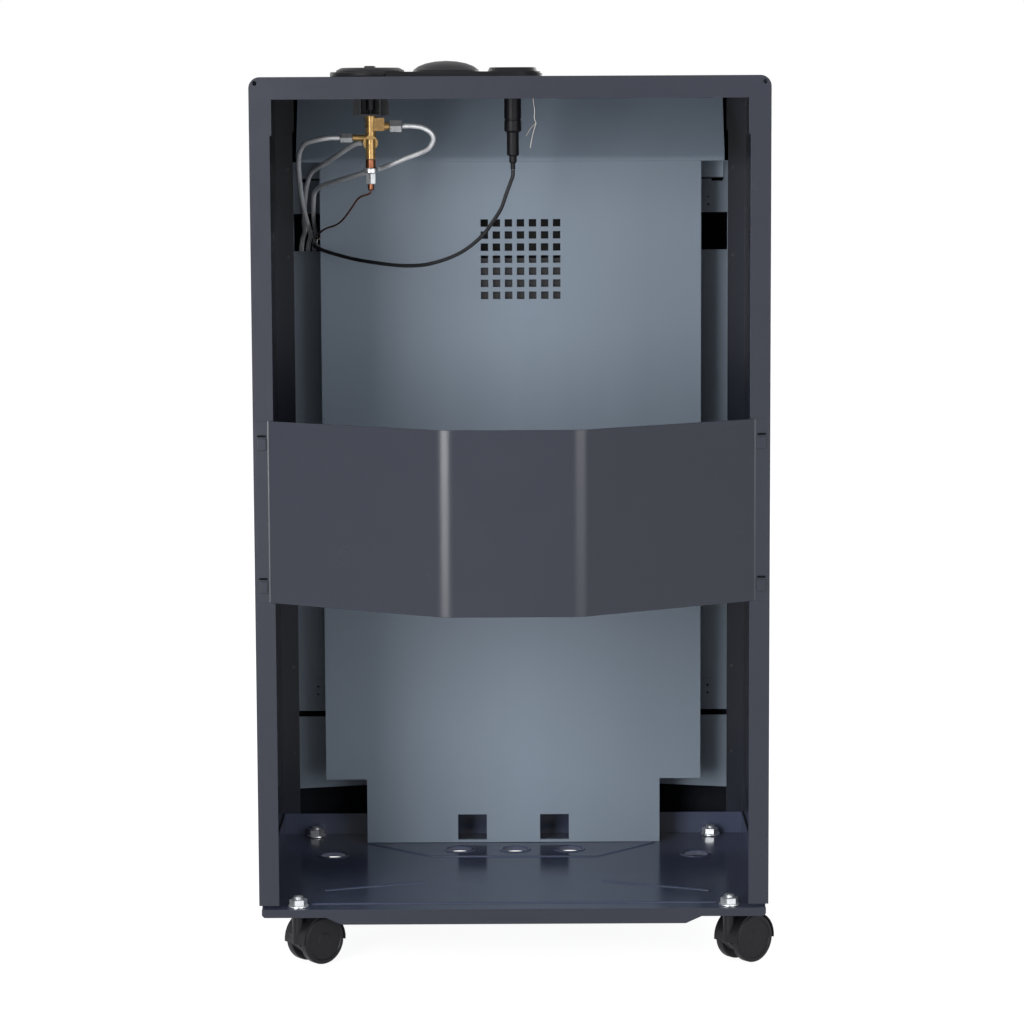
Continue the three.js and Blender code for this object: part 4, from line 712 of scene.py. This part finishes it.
class HEATER_OT_base(Maker, bpy.types.Operator):
    """Builds the base tray with the rims of its floor holes and its pressed creases"""

    bl_idname = "heater.base"
    bl_label = "Base tray"

    # X and depth of the floor's holes, and of the lines of its creases
    HOLES = ((48, 230), (-1.5, 229), (-50, 230), (159, 208), (-161, 208))
    RIM = ((14.5, -0.4), (14.4, 0.05), (13.6, 0.7), (12.6, 0.9), (11.7, 0.75), (11.1, 0.2), (11.0, -3.4))
    CREASE_RADIUS, CREASE_SUNK, CREASE_FLATNESS = 2.6, 0.4, 0.4
    CREASES = (
        ((129, 256), (73, 202), (-74, 199), (-125, 255)),
        ((160, 71), (106, 90), (75, 101)),
        ((-76, 101.5), (-124, 82), (-165, 65)),
        ((168, 22), (-168, 22)),
    )

    def make(self, sizes):
        # the tray's floor is painted lighter as the sheen of the light it reflects; its rear-facing walls
        # keep the plain case enamel
        tray = dressed("base_tray", "tray", sizes.edge, own_look="painted_sheen_tray")
        coated(tray, "case_paint", lambda face: abs(face.normal.z) < 0.5 and face.center.y > 0)
        details = []
        for x, depth in self.HOLES:
            details.append(hollowed(turned("rim", self.RIM, (x, depth, FLOOR), 40)))
        for line in self.CREASES:
            points = [(x, depth, FLOOR - self.CREASE_SUNK) for x, depth in line]
            crease = swept("crease", points, self.CREASE_RADIUS, 4, 0)
            details.append(flattened(crease, FLOOR * MM, self.CREASE_FLATNESS))
        # the rims and creases share the floor's painted sheen
        fitted(joined("floor_pressings", details), "case_paint", own_look="painted_sheen_tray")


def flattened(piece, level, share):
    """Brings a piece's height above a level, in metres, down to a share of it."""
    for vertex in piece.data.vertices:
        vertex.co.z = level + (vertex.co.z - level) * share
    return piece


def hollowed(ring):
    """Removes a ring's two caps, so that it is open through the middle, and gives its wall a thickness."""
    make_active(ring)
    switch_to("EDIT")
    bpy.ops.mesh.select_all(action="DESELECT")
    switch_to("OBJECT")
    for face in ring.data.polygons:
        face.select = len(face.vertices) > 4
    switch_to("EDIT")
    bpy.ops.mesh.select_mode(type="FACE")
    bpy.ops.mesh.delete(type="ONLY_FACE")
    switch_to("OBJECT")
    return modified(ring, "SOLIDIFY", thickness=0.3 * MM, offset=-1)


class HEATER_OT_shield(Maker, bpy.types.Operator):
    """Builds the heat shield, the deflector, the two back plates and the small marks beside them"""

    bl_idname = "heater.shield"
    bl_label = "Shield and plates"

    # X, depth and height of the middle, then the turn in degrees, of the upper plate at +X
    UPPER_PLATE_CENTRE = (179, 299, 650)
    UPPER_PLATE_WIDTH, UPPER_PLATE_TURN = 20.8, -5
    UPPER_PLATE_DEPTHS = (298.6, 299.3)
    UPPER_PLATE_HEIGHTS = (642.6, 657.2)
    SMALL_HOLE_X, SMALL_HOLE_RADIUS = 176, 1.1
    SMALL_HOLE_HEIGHTS = (624.4, 617.8, 184.4, 177.6)
    # ends in X and heights of the dark bar painted as each upper plate's shadow
    SHADOW_LINE_X = (168, 190)
    SHADOW_LINE_HEIGHTS = (640.8, 641.8)

    def make(self, sizes):
        dressed("heat_shield", "shield", 0.25)
        dressed("deflector", "deflector_sheet", sizes.edge)
        # its middle is painted near black as the shade seen through the shield's vents
        dressed("firebox_back_plate", "back_plate", sizes.edge, own_look="stained_sheet")
        dressed("lower_back_plate", "lower_plate", sizes.edge)
        self.upper_plates()
        self.small_holes()

    def upper_plates(self):
        """A small plate either side of the shield's top, slightly turned, its sheet lightened as painted
        light falling on it.
        """
        plates = []
        half = self.UPPER_PLATE_WIDTH / 2
        (near, far), (low, high) = self.UPPER_PLATE_DEPTHS, self.UPPER_PLATE_HEIGHTS
        turn = Matrix.Rotation(math.radians(self.UPPER_PLATE_TURN), 4, "Z")
        middle_x, depth, z = self.UPPER_PLATE_CENTRE
        for side in (-1, 1):
            x = side * middle_x
            plate = block("plate", (x - side * half, near, low), (x + side * half, far, high), 0.2)
            centre = spot(x, depth, z)
            plate.data.transform(Matrix.Translation(centre) @ turn @ Matrix.Translation(-centre))
            plates.append(plate)
        # the plates' lighter sheet paints the light on them
        fitted(joined("upper_plates", plates), "shield_steel", own_look="bright_sheet")

    def small_holes(self):
        """The pairs of small punched holes beside the shield, as discs of painted shade, and a dark bar under
        each upper plate, painted as its shadow.
        """
        face = (REAR_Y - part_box("firebox_back_plate")[1].y) / MM
        inner, outer = self.SHADOW_LINE_X
        low, high = self.SHADOW_LINE_HEIGHTS
        rings = [(self.SMALL_HOLE_RADIUS, -0.1), (self.SMALL_HOLE_RADIUS, 0.06)]
        marks = []
        for side in (-1, 1):
            for z in self.SMALL_HOLE_HEIGHTS:
                marks.append(turned("hole", rings, (side * self.SMALL_HOLE_X, face, z), 12, "Y"))
            # a thin dark bar under the upper plate: its painted shadow
            ends = (side * inner, face - 0.1, low), (side * outer, face + 0.1, high)
            marks.append(block("shadow_line", *ends, 0.05))
        # the holes and the bars are near-black painted shade
        fitted(joined("small_holes", marks), "shield_steel", own_look="hole")


# ---- retaining band ----
class HEATER_OT_band(Maker, bpy.types.Operator):
    """Builds the retaining band, its round bends, ears, pressed tabs and hooks"""

    bl_idname = "heater.band"
    bl_label = "Retaining band"

    LOW, HIGH, THICKNESS = 305, 454, 1.2
    CREST, FACE = -85.8, -0.3  # depths of its middle and of its ears
    BEND_X, FOOT_X, EAR_X = 54, 197.5, 208.5
    BEND_RADIUS, FOOT_RADIUS = 30, 4
    HOOK_X = 203
    HOOK_HEIGHTS = (441, 324)
    HOLE_Z, HOLE_RADIUS = 379.5, 1.7

    def make(self, sizes):
        middle, bend = (0, self.CREST), (self.BEND_X, self.CREST)
        foot, ear = (self.FOOT_X, self.FACE), (self.EAR_X, self.FACE)
        round_bend = arc(middle, bend, foot, self.BEND_RADIUS, 14)
        right = [*round_bend, *arc(bend, foot, ear, self.FOOT_RADIUS, 6), ear]
        left = [(-x, depth) for x, depth in right][::-1]
        parts = [folded("band_strip", [*left, *right], self.LOW, self.HIGH, self.THICKNESS)]
        for side in (-1, 1):
            x = side * self.HOOK_X
            for z in self.HOOK_HEIGHTS:
                parts.append(block("neck", (x - 3.2, -1.2, z - 4), (x + 3.2, 3, z), 0.2))
                parts.append(block("hook", (x - 3.2, 1.8, z - 11), (x + 3.2, 3, z), 0.3))
                parts.append(block("tab", (x - 3.6, -2.0, z - 11), (x + 3.6, -1.0, z - 1.2), 0.45, 3))
        fitted(joined("band", parts), "case_paint", "retaining_band", body="band")
        slots = []
        for side in (-1, 1):
            x = side * self.HOOK_X
            for z in self.HOOK_HEIGHTS:
                slots.append(block("slot", (x - 3.4, -1.62, z + 0.2), (x + 3.4, -1.2, z + 1.5), 0.1))
            rings = [(self.HOLE_RADIUS, 1.4), (self.HOLE_RADIUS, 1.62)]
            slots.append(turned("hole", rings, (x, 0, self.HOLE_Z), 24, "Y"))
        # the slots and holes are near-black painted shade, not cut through
        fitted(joined("band_slots", slots), "case_paint", body="band", own_look="hole")


# ---- front ----
class HEATER_OT_front(Maker, bpy.types.Operator):
    """Builds the front surround, the lower front panel and the reflector"""

    bl_idname = "heater.front"
    bl_label = "Front panels"

    # node, piece, its edges' rounding and steps, and how far a face turns to the rear that gets near-black
    # painted shade inside;
    # the reflector's walls lean, so their outer sides turn only a little
    PANELS = (
        ("front_surround", "surround", 0.7, 3, 0.3),
        ("lower_front_panel", "front_panel", 0.7, 3, 0.3),
        ("reflector", "reflector_funnel", 0.4, 2, 0.05),
    )

    def make(self, sizes):
        for node, name, edge, segments, rearward in self.PANELS:
            panel = dressed(node, name, edge, segments)
            # faces turned to the rear are painted near black as the shade inside the cabinet
            coated(panel, "inner_coat", lambda face: face.normal.y > rearward)


class HEATER_OT_burner(Maker, bpy.types.Operator):
    """Builds the burner: box, ceramic plaques, frame, pilot and wire guard"""

    bl_idname = "heater.burner"
    bl_label = "Burner"

    # half width, half height and depth of the guard's loop, then how far its wires bow ahead of it,
    # the height in which they do so and the loop's corner radius
    GUARD_HALF, GUARD_RISE, GUARD_DEPTH = 173, 138, 347.8
    GUARD_BOW, GUARD_LEAN, GUARD_CORNER = 7.5, 12, 5
    UPRIGHTS, BARS = 11, 3
    LOOP_RADIUS, WIRE_RADIUS = 2.5, 1.25

    def make(self, sizes):
        dressed("burner_box", "burner_tray", 0.5)
        for i in (1, 2, 3):
            dressed(f"ceramic_plaque_{i}", f"plaque_{i}", 0.8)
        dressed("plaque_frame", "plaque_bezel", 0.4)
        dressed("pilot_burner", "pilot", 0.3)
        self.guard()

    def guard(self):
        """The guard's loop, bowed uprights and level bars, in round wire."""
        half, depth, lean = self.GUARD_HALF, self.GUARD_DEPTH, self.GUARD_LEAN
        low, high = BURNER_Z - self.GUARD_RISE, BURNER_Z + self.GUARD_RISE
        front = depth + self.GUARD_BOW
        corners = [(half, low), (half, high), (-half, high), (-half, low)]
        loop = []
        for i, corner in enumerate(corners):
            loop += arc(corners[i - 1], corner, corners[(i + 1) % 4], self.GUARD_CORNER, 6)
        loop.append(loop[0])
        wires = [swept("loop", [(x, depth, z) for x, z in loop], self.LOOP_RADIUS, 3, 0)]
        for i in range(self.UPRIGHTS):
            x = ((i + 0.5) / self.UPRIGHTS - 0.5) * 2 * half
            points = [(x, depth, low), (x, front - 1, low + lean - 2), (x, front, low + lean + 3)]
            points += [(x, front, BURNER_Z), (x, front, high - lean - 3), (x, front - 1, high - lean + 2)]
            wires.append(swept("upright", [*points, (x, depth, high)], self.WIRE_RADIUS, 2, 3))
        # the bars run behind the uprights and bend back to the loop at their ends
        end, reach = half - 7.5, front - 1.3
        for i in range(self.BARS):
            z = low + lean + (i + 0.5) / self.BARS * (high - low - 2 * lean)
            left = [(-half, depth, z), (-end, reach - 1.2, z), (8 - end, reach, z), (-half / 2, reach, z)]
            right = [(-x, y, z) for x, y, z in left[::-1]]
            wires.append(swept("bar", [*left, (0, reach, z), *right], self.WIRE_RADIUS, 2, 3))
        fitted(joined("guard", wires), "bright_steel", "wire_guard")


# ---- controls ----
class HEATER_OT_controls(Maker, bpy.types.Operator):
    """Builds the plate of the controls, the gas knob and the igniter's button"""

    bl_idname = "heater.controls"
    bl_label = "Controls"

    KNOB_FOOT, BUTTON_FOOT = 734.9, 736.8
    SKIRT = (
        (28.1, 0), (28.6, 0.5), (28.6, 1.2), (27.8, 2.2), (25.6, 3.5), (24.4, 4.0),
        (22.6, 4.2), (21.9, 3.7), (4, 3.6),
    )
    GRIP_WIDTH, GRIP_LENGTH = 9, 34
    RIBS, RIB_CIRCLE = 36, 27.9
    RIB = ((0.9, 0.2), (0.9, 1.6), (0.3, 2.1))
    CAP = ((10.6, 0), (11, 0.3), (11, 1.3), (10.4, 1.9), (9.2, 2.1), (6, 1.9), (1, 1.75))

    def make(self, sizes):
        dressed("control_bezel", "control_plate", 0.5, 3, 25)
        dressed("knob_collar", "collar", 1.0, 3, 25)
        dressed("valve_spindle", "spindle", 0.3)
        self.knob()
        self.button()

    def knob(self):
        foot = self.KNOB_FOOT
        parts = [turned("skirt", self.SKIRT, (KNOB_X, CONTROL_DEPTH, foot), 64)]
        across, along = self.GRIP_WIDTH / 2, self.GRIP_LENGTH / 2
        low = (KNOB_X - across, CONTROL_DEPTH - along, foot + 3)
        high = (KNOB_X + across, CONTROL_DEPTH + along, foot + 5.6)
        parts.append(block("grip", low, high, 1.2, 4))
        for i in range(self.RIBS):
            angle = 2 * math.pi * i / self.RIBS
            x = KNOB_X + self.RIB_CIRCLE * math.cos(angle)
            depth = CONTROL_DEPTH + self.RIB_CIRCLE * math.sin(angle)
            parts.append(turned("rib", self.RIB, (x, depth, foot), 8))
        fitted(joined("knob", parts), "black_plastic", "gas_knob", body="knob")

    def button(self):
        foot = self.BUTTON_FOOT
        cap = turned("cap", self.CAP, (BUTTON_X, CONTROL_DEPTH, foot), 48)
        rings = [(4.0, 712.3), (4.2, 712.6), (4.2, foot + 0.5)]
        stem = turned("stem", rings, (BUTTON_X, CONTROL_DEPTH, 0), 24)
        fitted(joined("button", [cap, stem]), "black_plastic", "igniter_button", body="button")


# ---- valve ----
class HEATER_OT_valve(Maker, bpy.types.Operator):
    """Builds the gas valve: bracket, turned body, nuts, ferrule and neck"""

    bl_idname = "heater.valve"
    bl_label = "Gas valve"

    MAGNET_DEPTH = CONTROL_DEPTH - 5
    # each outlet's node and nut, the nut's width over flats, its ends in X, its height and its chamfer
    OUTLETS = (
        ("outlet_nut_right", "right_union", 9.8, 91.6, 101.8, 690, 0.8),
        ("outlet_nut_left", "left_union", 7.6, 133.5, 143.8, 680.3, 0.7),
    )

    def make(self, sizes):
        dressed("valve_bracket", "bracket", 0.35, own_look="dark_paint")
        dressed("valve_body", "valve", 0.35, 2, 30)
        centre = (KNOB_X, self.MAGNET_DEPTH, 0)
        ring = turned("ring", [(5.6, 650.4), (6.4, 651.2), (6.4, 654.2), (5.6, 655)], centre, 24)
        nut = hexagon("hex", 7.6, 641.4, 650.6, centre, "Z", 0.6)
        fitted(joined("magnet_union", [ring, nut]), "bright_steel", "magnet_nut")
        ferrule = turned("magnet_ferrule", [(1.9, 636), (2.7, 637.2), (2.7, 642)], centre, 24)
        fitted(ferrule, "copper")
        neck = turned("valve_neck", [(4.0, 654), (4.3, 654.6), (4.3, 661.6), (4.0, 662.1)], centre, 28)
        fitted(neck, "copper")
        for node, name, flat, low, high, z, chamfer in self.OUTLETS:
            union = hexagon(name, flat, low, high, (0, CONTROL_DEPTH, z), "X", chamfer)
            fitted(union, "bright_steel", node)


# X, depth and height along each pipe and along the capillary, from the valve to the burner
PIPES = {
    "burner_pipe_right": [
        (91.2, 150, 690), (84, 150, 690), (74, 150, 688.5), (67, 151, 684), (65, 153, 679),
        (69, 157, 671), (77, 162, 667), (90, 168, 662), (110, 177, 654), (128, 190, 649),
        (148, 207, 643), (163, 225, 638), (171, 243, 632), (173, 257, 622), (174, 277, 607),
        (174, 296, 594), (174.5, 304, 588), (176, 311, 572), (170, 312, 548), (158, 312, 540.5),
        (150, 312, 540), (140.3, 312, 540),
    ],
    "burner_pipe_left": [
        (144.2, 150, 680.3), (152, 150, 680.3), (161, 151, 679), (173, 158, 676), (178, 167, 671),
        (181, 180, 662), (182, 220, 635), (181, 250, 617), (179, 275, 602), (178, 296, 592),
        (180.5, 305, 583), (182, 312, 560), (176, 312.5, 532), (162, 312, 522.5), (150, 312, 522),
        (140.3, 312, 522),
    ],
    "burner_pipe_rear": [
        (124.8, 152, 676), (132, 158, 674.5), (146, 173, 666), (161, 197, 657), (173, 222, 649),
        (178, 243, 637), (181, 262, 621), (183, 282, 606), (183.5, 296, 596), (186.5, 306, 586),
        (188, 312, 560), (184, 313, 520), (170, 312.5, 505.5), (152, 312, 504), (140.3, 312, 504),
    ],
}
CAPILLARY_RADIUS = 0.8
CAPILLARY = [
    (118, 145, 635.6), (119, 145.5, 633.5), (128, 150, 630), (135, 158, 621), (142, 168, 612),
    (149, 185, 606), (160, 215, 601.5), (168, 240, 596), (171, 255, 593), (171.5, 280, 590.5),
    (170.5, 301, 589), (165, 309, 586), (160, 316, 580), (158, 320, 578), (158, 321.7, 578),
]


class HEATER_OT_pipes(Maker, bpy.types.Operator):
    """Bends the three gas pipes and the thermocouple's capillary"""

    bl_idname = "heater.pipes"
    bl_label = "Pipes"

    def make(self, sizes):
        for node, points in PIPES.items():
            pipe = swept(node.replace("burner", "gas"), points, sizes.pipe / 2, 4)
            fitted(pipe, "aluminium", node)
        capillary = swept("capillary", CAPILLARY, CAPILLARY_RADIUS, 3)
        fitted(capillary, "copper", "thermocouple_lead")


class HEATER_OT_igniter(Maker, bpy.types.Operator):
    """Builds the igniter's body, its nut and the wire clip beside it"""

    bl_idname = "heater.igniter"
    bl_label = "Igniter"

    BODY = (
        (1.9, 653), (2.0, 653.4), (2.0, 658), (3.0, 659.2), (3.2, 660), (3.2, 664),
        (4.8, 665), (5.1, 665.6), (5.1, 684), (6.4, 685), (7.2, 685.6), (7.2, 694),
        (6.7, 694.4), (6.7, 695.6), (7.2, 696), (7.2, 731.1),
    )
    NUT_LOW, NUT_HIGH, NUT_FLAT = 724.5, 729.5, 21
    CLIP_RADIUS = 0.42
    CLIP_WIRES = (
        ((-19.6, 150, 729.5), (-19.6, 150, 711.4), (-20.8, 150, 702.1), (-20.4, 150, 696.2), (-22, 150, 692)),
        ((-22, 150, 692.4), (-19, 150.5, 682), (-16.9, 151, 671)),
        ((-22, 150, 692.4), (-17.6, 149.5, 688), (-13.5, 149, 681.1)),
    )

    def make(self, sizes):
        centre = (BUTTON_X, CONTROL_DEPTH, 0)
        fitted(turned("igniter", self.BODY, centre, 36), "black_plastic", "igniter_body")
        nut = hexagon("igniter_ring", self.NUT_FLAT, self.NUT_LOW, self.NUT_HIGH, centre, "Z", 0.8)
        fitted(nut, "bright_steel", "igniter_nut")
        wires = [swept("wire", points, self.CLIP_RADIUS, 2, 3) for points in self.CLIP_WIRES]
        fitted(joined("wire_clip", wires), "bright_steel", own_look="dull_wire")


# ---- castors ----
class HEATER_OT_castors(Maker, bpy.types.Operator):
    """Builds the four castors: stem, nut, hooded housing and twin wheels"""

    bl_idname = "heater.castors"
    bl_label = "Castors"

    STEM_X = 178.5
    HEADING = {"rear": 220, "front": 320}  # turn about the stem in degrees
    DEPTH = {"rear": 12, "front": 288}
    THREAD_LOW, THREAD_HIGH, THREAD_PITCH = 47.6, 57.4, 0.8
    WHEEL_RADIUS, TRAIL, WEB = 20, 17, 5.7  # TRAIL is from stem to axle, WEB from the middle to a wheel
    FLANGE = ((8.4, 49.3), (8.5, 49.5), (8.4, 50.3), (7.2, 50.9))
    WHEEL = (
        (4, 0), (18.6, 0.1), (19.6, 0.5), (20, 1.4), (20, 6.4), (19.7, 7.2), (18.9, 7.8), (17.6, 8),
        (16.6, 7.9), (16.1, 7.2), (15.6, 7.1), (6.4, 7.2), (6.0, 7.5), (5.6, 7.6), (3, 7.65), (0.5, 7.65),
    )

    def make(self, sizes):
        for row in ("rear", "front"):
            for hand, side in (("left", 1), ("right", -1)):
                place = Matrix.Translation(spot(side * self.STEM_X, self.DEPTH[row], 0))
                place = place @ Matrix.Rotation(math.radians(self.HEADING[row]), 4, "Z")
                self.castor(f"{row}_{hand}", place)

    def castor(self, name, place):
        dressed(f"castor_housing_{name}", f"housing_{name}", 0.5, 3)
        here = (0, REAR_Y / MM, 0)
        stud = [(3.5, 21.6), (3.5, 46), (7.4, 46.2), (7.5, 46.8), (7.4, 47.4), (4, 47.5)]
        height = self.THREAD_LOW
        while height < self.THREAD_HIGH:
            stud += [(3.95, height), (3.55, height + self.THREAD_PITCH / 2)]
            height += self.THREAD_PITCH
        stud += [(3.9, 57.6), (3.3, 58.1)]
        stem = placed(turned(f"stem_{name}", stud, here, 24), place)
        fitted(stem, "bright_steel", f"castor_stem_{name}")
        flange = turned("flange", self.FLANGE, here, 32)
        nut = joined(f"nut_{name}", [flange, hexagon("hex", 13, 50.2, 55.7, here, "Z", 0.9)])
        fitted(placed(nut, place), "bright_steel", f"castor_nut_{name}")
        for letter, way in (("a", 1), ("b", -1)):
            body = f"wheel_{letter}_{name}"
            wheel = placed(self.wheel(body, way), place)
            fitted(wheel, "black_plastic", f"castor_{body}", body=body)

    def wheel(self, name, way):
        """One wheel: a rounded tread, a dished face and a raised hub."""
        wheel = turned(name, [(r, self.WEB + h) for r, h in self.WHEEL], (0, REAR_Y / MM, 0), 48)
        turn = Matrix.Rotation(-way * math.pi / 2, 4, "X")
        wheel.data.transform(Matrix.Translation((self.TRAIL * MM, 0, self.WHEEL_RADIUS * MM)) @ turn)
        return wheel


# ---- stage ----
class HEATER_OT_stage(Maker, bpy.types.Operator):
    """Sets up the pale floor, the soft lamps and the world"""

    bl_idname = "heater.stage"
    bl_label = "Stage"

    # each lamp's name, place in metres, power in watts and size in metres; all look at AIM
    AIM = (0, 0, 0.4)
    LAMPS = (
        ("key", (1.5, 2.75, 0.85), 84, (1.2, 1.9)),
        ("fill", (-1.9, 2.9, 0.75), 36, (1.8, 1.8)),
        ("top", (0.0, 0.2, 2.9), 9, (2.0, 2.0)),
        ("front_key", (-1.6, -2.7, 1.1), 44, (1.2, 1.9)),
        ("front_fill", (1.9, -2.4, 1.1), 16, (1.0, 1.8)),
    )
    FLOOR_SIZE, FLOOR_MIDDLE = 80, (0, -20, -0.0004)  # in metres
    GLOW = 1.22  # strength of the light that the floor gives off to the camera
    GLOW_SHARE = 0.75  # of that light in what the camera sees
    WORLD_STRENGTH = 0.4

    def make(self, sizes):
        deselect()
        bpy.ops.mesh.primitive_plane_add(size=self.FLOOR_SIZE, location=self.FLOOR_MIDDLE)
        floor = named("floor")
        placed(floor, Matrix.Identity(4))
        floor.data.materials.append(self.floor_look())
        for name, place, power, size in self.LAMPS:
            bpy.ops.object.light_add(type="AREA", location=place)
            lamp = named(name)
            lamp.data.energy = power * sizes.light
            lamp.data.shape = "RECTANGLE"
            lamp.data.size, lamp.data.size_y = size
            aim = Vector(self.AIM) - Vector(place)
            lamp.rotation_euler = aim.to_track_quat("-Z", "Y").to_euler()
        self.world()
        bpy.context.scene.view_settings.view_transform = "Standard"

    def seen_share(self, tree):
        """1 for the camera's rays, those off shiny surfaces and those through glass, 0 for the rest."""
        link = tree.links.new
        path = tree.nodes.new("ShaderNodeLightPath")
        seen = path.outputs["Is Camera Ray"]
        for output in ("Is Glossy Ray", "Is Transmission Ray"):
            either = tree.nodes.new("ShaderNodeMath")
            either.operation = "MAXIMUM"
            link(seen, either.inputs[0])
            link(path.outputs[output], either.inputs[1])
            seen = either.outputs["Value"]
        return seen

    def floor_look(self):
        made = Finish("pale_floor", (0.9, 0.9, 0.9), 0.0, 0.6, 0.3)
        made.patch(made.noise(2.0), 0.4, 0.7, 0.3, (0.86, 0.86, 0.87))
        glow = made.node("ShaderNodeEmission")
        glow.inputs["Strength"].default_value = self.GLOW
        mix = made.node("ShaderNodeMixShader")
        made.link(made.math("MULTIPLY", self.seen_share(made.tree), self.GLOW_SHARE), mix.inputs["Fac"])
        made.link(made.shader.outputs["BSDF"], mix.inputs[1])
        made.link(glow.outputs["Emission"], mix.inputs[2])
        made.link(mix.outputs["Shader"], made.tree.nodes["Material Output"].inputs["Surface"])
        return made.material

    def world(self):
        world = bpy.data.worlds.new("studio")
        bpy.context.scene.world = world
        world.use_nodes = True
        tree = world.node_tree
        link = tree.links.new
        back = tree.nodes["Background"]
        back.inputs["Color"].default_value = (0.92, 0.95, 1.0, 1)
        back.inputs["Strength"].default_value = self.WORLD_STRENGTH
        white = tree.nodes.new("ShaderNodeBackground")
        white.inputs["Color"].default_value = (1, 1, 1, 1)
        mix = tree.nodes.new("ShaderNodeMixShader")
        link(self.seen_share(tree), mix.inputs["Fac"])
        link(back.outputs["Background"], mix.inputs[1])
        link(white.outputs["Background"], mix.inputs[2])
        link(mix.outputs["Shader"], tree.nodes["World Output"].inputs["Surface"])


OPERATORS = (
    HEATER_OT_camera, HEATER_OT_lead, HEATER_OT_cabinet, HEATER_OT_base, HEATER_OT_shield,
    HEATER_OT_band, HEATER_OT_front, HEATER_OT_burner, HEATER_OT_controls, HEATER_OT_valve,
    HEATER_OT_pipes, HEATER_OT_igniter, HEATER_OT_castors, HEATER_OT_stage,
)


class HEATER_PT_pieces(bpy.types.Panel):
    """Lists the settings and the operators in the sidebar"""

    bl_idname = "HEATER_PT_pieces"
    bl_label = "Gas Cabinet Heater"
    bl_space_type = "VIEW_3D"
    bl_region_type = "UI"
    bl_category = "Heater"

    def draw(self, context):
        for group in (context.scene.heater_sizes, context.scene.heater_colors):
            box = self.layout.box()
            for key in group.__annotations__:
                box.prop(group, key)
        for operator in OPERATORS:
            self.layout.operator(operator.bl_idname)


CLASSES = (HeaterColors, HeaterSizes, *OPERATORS, HEATER_PT_pieces)


def register():
    for cls in CLASSES:
        bpy.utils.register_class(cls)
    bpy.types.Scene.heater_colors = PointerProperty(type=HeaterColors)
    bpy.types.Scene.heater_sizes = PointerProperty(type=HeaterSizes)


def unregister():
    del bpy.types.Scene.heater_sizes
    del bpy.types.Scene.heater_colors
    for cls in reversed(CLASSES):
        bpy.utils.unregister_class(cls)


def main():
    register()
    for operator in OPERATORS:
        group, name = operator.bl_idname.split(".")
        getattr(getattr(bpy.ops, group), name)()
    bpy.context.view_layer.update()


if __name__ == "__main__":
    main()
